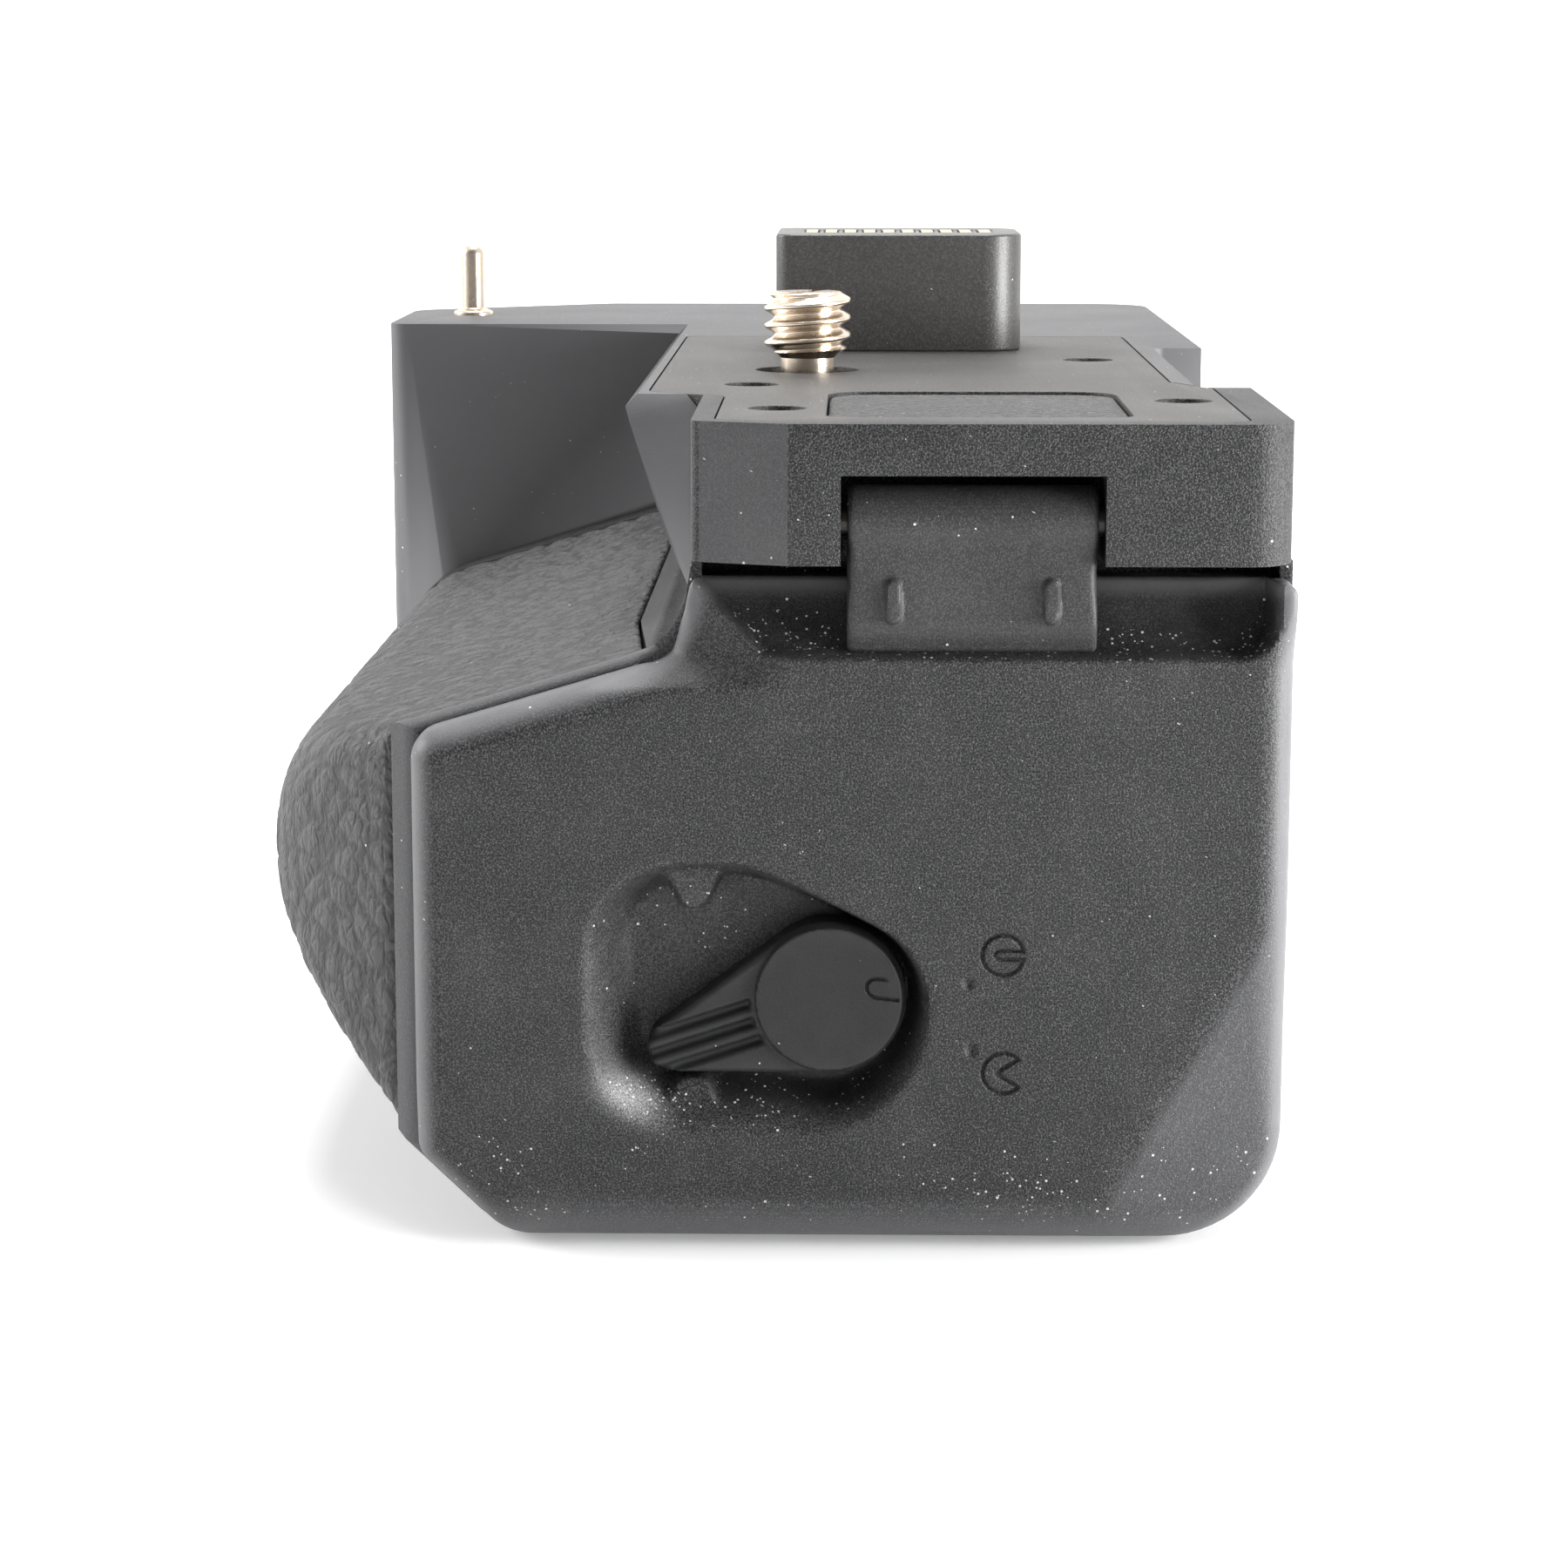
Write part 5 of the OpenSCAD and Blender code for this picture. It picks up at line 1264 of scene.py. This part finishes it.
@dataclass
class GripShell:
    """Main shell with its long outer edges rounded, and the fittings of the base."""

    edge: float = 0.35
    end_edge: float = 0.8
    end_x: float = 42.75
    end_outline: Outline = field(default_factory=lambda: Outline.rounded([
        (31.0, 0.4, 7.5), (31.0, 43.1, 0.8), (-6.7, 43.1, 0.8), (-7.6, 38.9, 5.0),
        (-24.9, 33.757, 2.0), (-24.9, 5.695, 1.5), (-19.5, 0.4, 4.0)]))

    def end(self, e: bmesh.types.BMEdge) -> bool:
        """Whether an edge runs along the outside of the shell's end, where the door meets it."""
        if any(abs(v.co.x / MM - self.end_x) > 0.03 for v in e.verts):
            return False
        m = (e.verts[0].co + e.verts[1].co) / (2.0 * MM)
        d = self.end_outline.signed(np.array([m.y]), np.array([m.z]))
        return m.z < 38.2 and m.y < 20.0 and float(d[0]) > -0.4

    @staticmethod
    def outer(e: bmesh.types.BMEdge) -> bool:
        """Whether an edge is a long outer one: both of its faces are large, and it is not in a pocket."""
        if min(f.calc_area() for f in e.link_faces) < 1.5 * MM * MM:
            return False
        m = (e.verts[0].co + e.verts[1].co) / (2.0 * MM)
        if -24.5 < m.x < 42.5 and -20.5 < m.y < 28.5 and m.z < 36.0:
            return False
        return not (m.x > 36.0 and -6.0 < m.y < 29.6 and 36.0 < m.z < 44.0)

    @staticmethod
    def smooth_and_sheen(middle: Array, normal: Array) -> Array:
        """Where the shell's grain is smoother and its colour painted lighter as sheen: the bead by the pad,
        the end block's facet, the wing, the head and the head's top.
        """
        x, y, z = middle.T
        bead = (x > 41.4) & (x < 42.9) & (z < 38.5) & (np.abs(normal[:, 0]) < 0.95) & (y < 0.0)
        facet = (x > 41.0) & (z > 43.0) & (normal[:, 0] > 0.9) & (normal[:, 1] < -0.1)
        wing = (x > 0.0) & (x < 42.0) & (y < -6.0) & (z > 38.0) & (normal[:, 0] > 0.4)
        head = (x < 0.0) & (normal[:, 0] > 0.3)
        top = (x < -10.0) & (normal[:, 2] > 0.8) & (z > 49.0)
        return 0.6 * bead + 0.45 * facet + 1.0 * wing + 1.0 * head + 0.55 * top

    def build(self, shop: Workshop) -> None:
        """Makes the shell and the base cover, and dresses screws and bush."""
        # Its rounded end and outer edges get smoother grain and painted sheen.
        shop.softened("main_shell", SHELL, self.edge, ends=[self.end_x], band=0.4, smooth_and_sheen=self.smooth_and_sheen,
                      passes=[(self.end_edge, self.end), (self.edge, self.outer)])
        shop.softened("base_cover", FINE, 0.3)
        shop.dress(STEEL, "base_screws", "tripod_bush")
        shop.dress(CHAMBER, "battery_chamber", "contact_block")
        shop.dress(RUBBER, "chamber_seal")
        shop.dress(GOLD, "contact_blades")
        shop.dress(BOARD, "main_board")


@dataclass
class CameraSeat:
    """Top plate with its connector, stored contact cap, camera screw and locating pin."""

    thread_r: float = 3.175
    pitch: float = 1.27
    screw_top: float = 58.7

    def screw(self) -> Surface:
        """Camera screw: a neck, then a thread.

        The thread's radius falls from the crest by the distance of (height / pitch - angle / full turn)
        from the nearest whole number, as a 60 degree ridge does.
        """
        z = np.linspace(54.3, self.screw_top - 0.05, 150)
        low = [(0.0, 49.4), (2.0, 49.4), (2.0, 53.9), (2.3, 54.2)]

        def ridge(a: Array, h: Array) -> Array:
            t = np.abs((h / self.pitch - a / (2.0 * np.pi)) % 1.0 - 0.5) * 2.0
            depth = 0.68 * ease(0.08, 0.92, t)
            taper = np.maximum(ease(54.9, 54.2, h), ease(self.screw_top - 0.55, self.screw_top, h)) * 0.7
            return np.where(h > 54.25, -np.maximum(depth, taper), 0.0)

        body = [(self.thread_r, float(h)) for h in z]
        return turned(low + body, 72, ridge)

    def slot(self) -> Surface:
        """Flat end of the camera screw with its driver slot."""
        outline = Outline.disc((0.0, 0.0), 2.5)
        height = lambda x, y: self.screw_top - 0.8 * ease(0.56, 0.46, np.abs(x * 0.34 + y * 0.94))
        relief = Relief(outline, height, lambda x, y: np.full_like(x, 0.12), self.screw_top - 0.9, Facing.UP)
        return relief.build(lines(-2.7, 2.7, 0.09), lines(-2.7, 2.7, 0.09))

    def pin(self) -> Surface:
        """Locating pin with a rounded end."""
        low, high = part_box("locating_pin")
        mid = (low + high) / (2.0 * MM)
        top = high.z / MM
        profile = rolled([(0.0, 50.0), (1.8, 50.0), (1.8, 53.3), (1.05, 53.6), (1.05, top), (0.0, top)],
                         [0.0, 0.25, 0.2, 0.8])
        return turned(profile, 40).moved((mid.x, mid.y, 0.0))

    def build(self, shop: Workshop) -> None:
        """Makes the seat's pieces and dresses the rest."""
        shop.softened("top_plate", PLATE, 0.25)
        shop.softened("connector_block", CONNECTOR, 0.3)
        shop.softened("contact_cap", CAP, 0.3)
        shop.dress(BLACK_STEEL, "top_plate_screws")
        shop.dress(GOLD, "connector_contacts")
        shop.piece("camera_screw_thread", join([self.screw(), self.slot()]), STEEL, ["camera_screw"], 35.0)
        shop.piece("locating_pin_body", self.pin(), STEEL, ["locating_pin"], 35.0)
        shop.dress(RUBBER, "screw_wheel")


@dataclass
class ReleaseControls:
    """Shutter button with its collar, dials, rear buttons and selector."""

    def build(self, shop: Workshop) -> None:
        """Makes and dresses the controls."""
        shop.softened("shutter_button", GLOSS, 0.3)
        shop.softened("shutter_collar", FINE, 0.25)
        shop.dress(RUBBER, "front_dial", "rear_dial")
        shop.dress(STEEL, "front_dial_axle", "rear_dial_axle", "selector_ring")
        for node in ("focus_button", "function_button"):
            shop.softened(node, GLOSS, 0.25)
        shop.softened("selector_cap", RUBBER, 0.25)


@dataclass
class Studio:
    """Floor with a curved backdrop, soft lights and the camera."""

    eye: tuple[float, float, float] = (0.27865, 0.00364, 0.07309)
    look: tuple[float, float, float] = (-0.98342, -0.01895, -0.18030)
    lens: float = 86.74

    def floor(self) -> None:
        """Floor that curves up into a backdrop: a profile carried along Y; its paper glows, weaker near the
        grip as a painted shadow.
        """
        a = np.linspace(0.0, math.pi / 2.0, 16)
        x = np.concatenate([[2.0, 0.5], -1.2 - 0.5 * np.sin(a), [-1.7]])
        z = np.concatenate([[0.0, 0.0], 0.5 - 0.5 * np.cos(a), [3.0]])
        y = np.linspace(-2.5, 2.5, 9)
        s = sheet(np.stack(np.broadcast_arrays(x[:, None], y[None], z[:, None]), -1))
        mesh = bpy.data.meshes.new("studio_floor")
        mesh.from_pydata(s.points.tolist(), [], s.faces[:, ::-1].tolist())
        mesh.polygons.foreach_set("use_smooth", np.ones(len(mesh.polygons), bool))
        floor = bpy.data.objects.new("studio_floor", mesh)
        bpy.context.scene.collection.objects.link(floor)
        material = bpy.data.materials.new("studio_paper")
        material.use_nodes = True
        g = Graph(material.node_tree)
        shader = g.tree.nodes["Principled BSDF"]
        shader.inputs["Base Color"].default_value = (0.82, 0.82, 0.82, 1.0)
        shader.inputs["Roughness"].default_value = 0.9
        shader.inputs["Specular IOR Level"].default_value = 0.0
        # The paper glows full where seen directly or in reflections and at under half strength for other
        # rays, so it lights the grip though it is no lamp.
        rays = g.add("ShaderNodeLightPath")
        direct = g.math("MAXIMUM", rays.outputs["Is Camera Ray"], rays.outputs["Is Glossy Ray"])
        seen = g.math("MAXIMUM", direct, 0.45)
        away = g.add("ShaderNodeVectorMath", operation="LENGTH")
        g.feed(away.inputs[0], g.add("ShaderNodeTexCoord").outputs["Object"])
        # Painted shadow: the glow is weakest near the grip and full from 28 cm away, so the floor darkens
        # round it.
        glow = g.span(away.outputs["Value"], 0.06, 0.28, 0.28, 1.0)
        shader.inputs["Emission Color"].default_value = (1.0, 1.0, 1.0, 1.0)
        g.feed(shader.inputs["Emission Strength"], g.math("MULTIPLY", seen, glow))
        mesh.materials.append(material)

    def world(self) -> None:
        """White surround, dimmer on the camera's side; full white where it is seen."""
        world = bpy.data.worlds.new("studio_surround")
        bpy.context.scene.world = world
        world.use_nodes = True
        g = Graph(world.node_tree)
        back = g.tree.nodes["Background"]
        back.inputs["Color"].default_value = (1.0, 1.0, 1.0, 1.0)
        around = g.add("ShaderNodeTexCoord").outputs["Generated"]
        way = g.add("ShaderNodeSeparateXYZ", sockets={"Vector": around})
        rays = g.add("ShaderNodeLightPath")
        lean = g.math("MULTIPLY", way.outputs["Y"], 0.28)
        lit = g.math("ADD", g.span(way.outputs["X"], 0.2, 0.85, 0.62, 0.2), lean)
        glossy = g.span(way.outputs["X"], 0.2, 0.85, 1.0, 0.22)
        mirrored = g.math("MULTIPLY", rays.outputs["Is Glossy Ray"], glossy)
        bright = g.math("MAXIMUM", lit, mirrored)
        g.feed(back.inputs["Strength"], g.math("MAXIMUM", bright, rays.outputs["Is Camera Ray"]))

    def lamp(self, name: str, place: Sequence[float], size: float, power: float) -> None:
        """Square soft light aimed at the grip."""
        data = bpy.data.lights.new(name, "AREA")
        data.shape, data.size, data.energy = "SQUARE", size, power
        lamp = bpy.data.objects.new(name, data)
        lamp.location = place
        aim = Vector((0.0, 0.0, 0.03)) - lamp.location
        lamp.rotation_euler = aim.to_track_quat("-Z", "Y").to_euler()
        bpy.context.scene.collection.objects.link(lamp)

    def camera(self) -> None:
        """Camera at the photograph's viewing angle."""
        data = bpy.data.cameras.new("camera")
        data.lens, data.sensor_width, data.clip_start = self.lens, 36.0, 0.01
        camera = bpy.data.objects.new("camera", data)
        camera.location = self.eye
        camera.rotation_euler = Vector(self.look).to_track_quat("-Z", "Y").to_euler()
        bpy.context.scene.collection.objects.link(camera)
        bpy.context.scene.camera = camera

    def build(self) -> None:
        """Sets the studio up."""
        self.floor()
        self.world()
        self.lamp("top_softbox", (-0.12, 0.0, 0.65), 0.32, 5.5)
        self.lamp("left_softbox", (-0.12, -0.6, 0.3), 0.3, 3.5)
        self.lamp("right_softbox", (0.11, 0.25, 0.06), 0.14, 1.6)
        self.camera()
        bpy.context.scene.view_settings.view_transform = "Standard"


def main() -> None:
    """Builds every sub-assembly in order, then the studio."""
    logging.basicConfig(level=logging.INFO, format="%(message)s")
    shop = Workshop(frame["nodes"], frame["record"])
    for assembly in (GripShell(), BatteryDoor(), LatchLever(), HandGrip(), CameraSeat(), ReleaseControls()):
        assembly.build(shop)
    Studio().build()


if __name__ == "__main__":
    main()
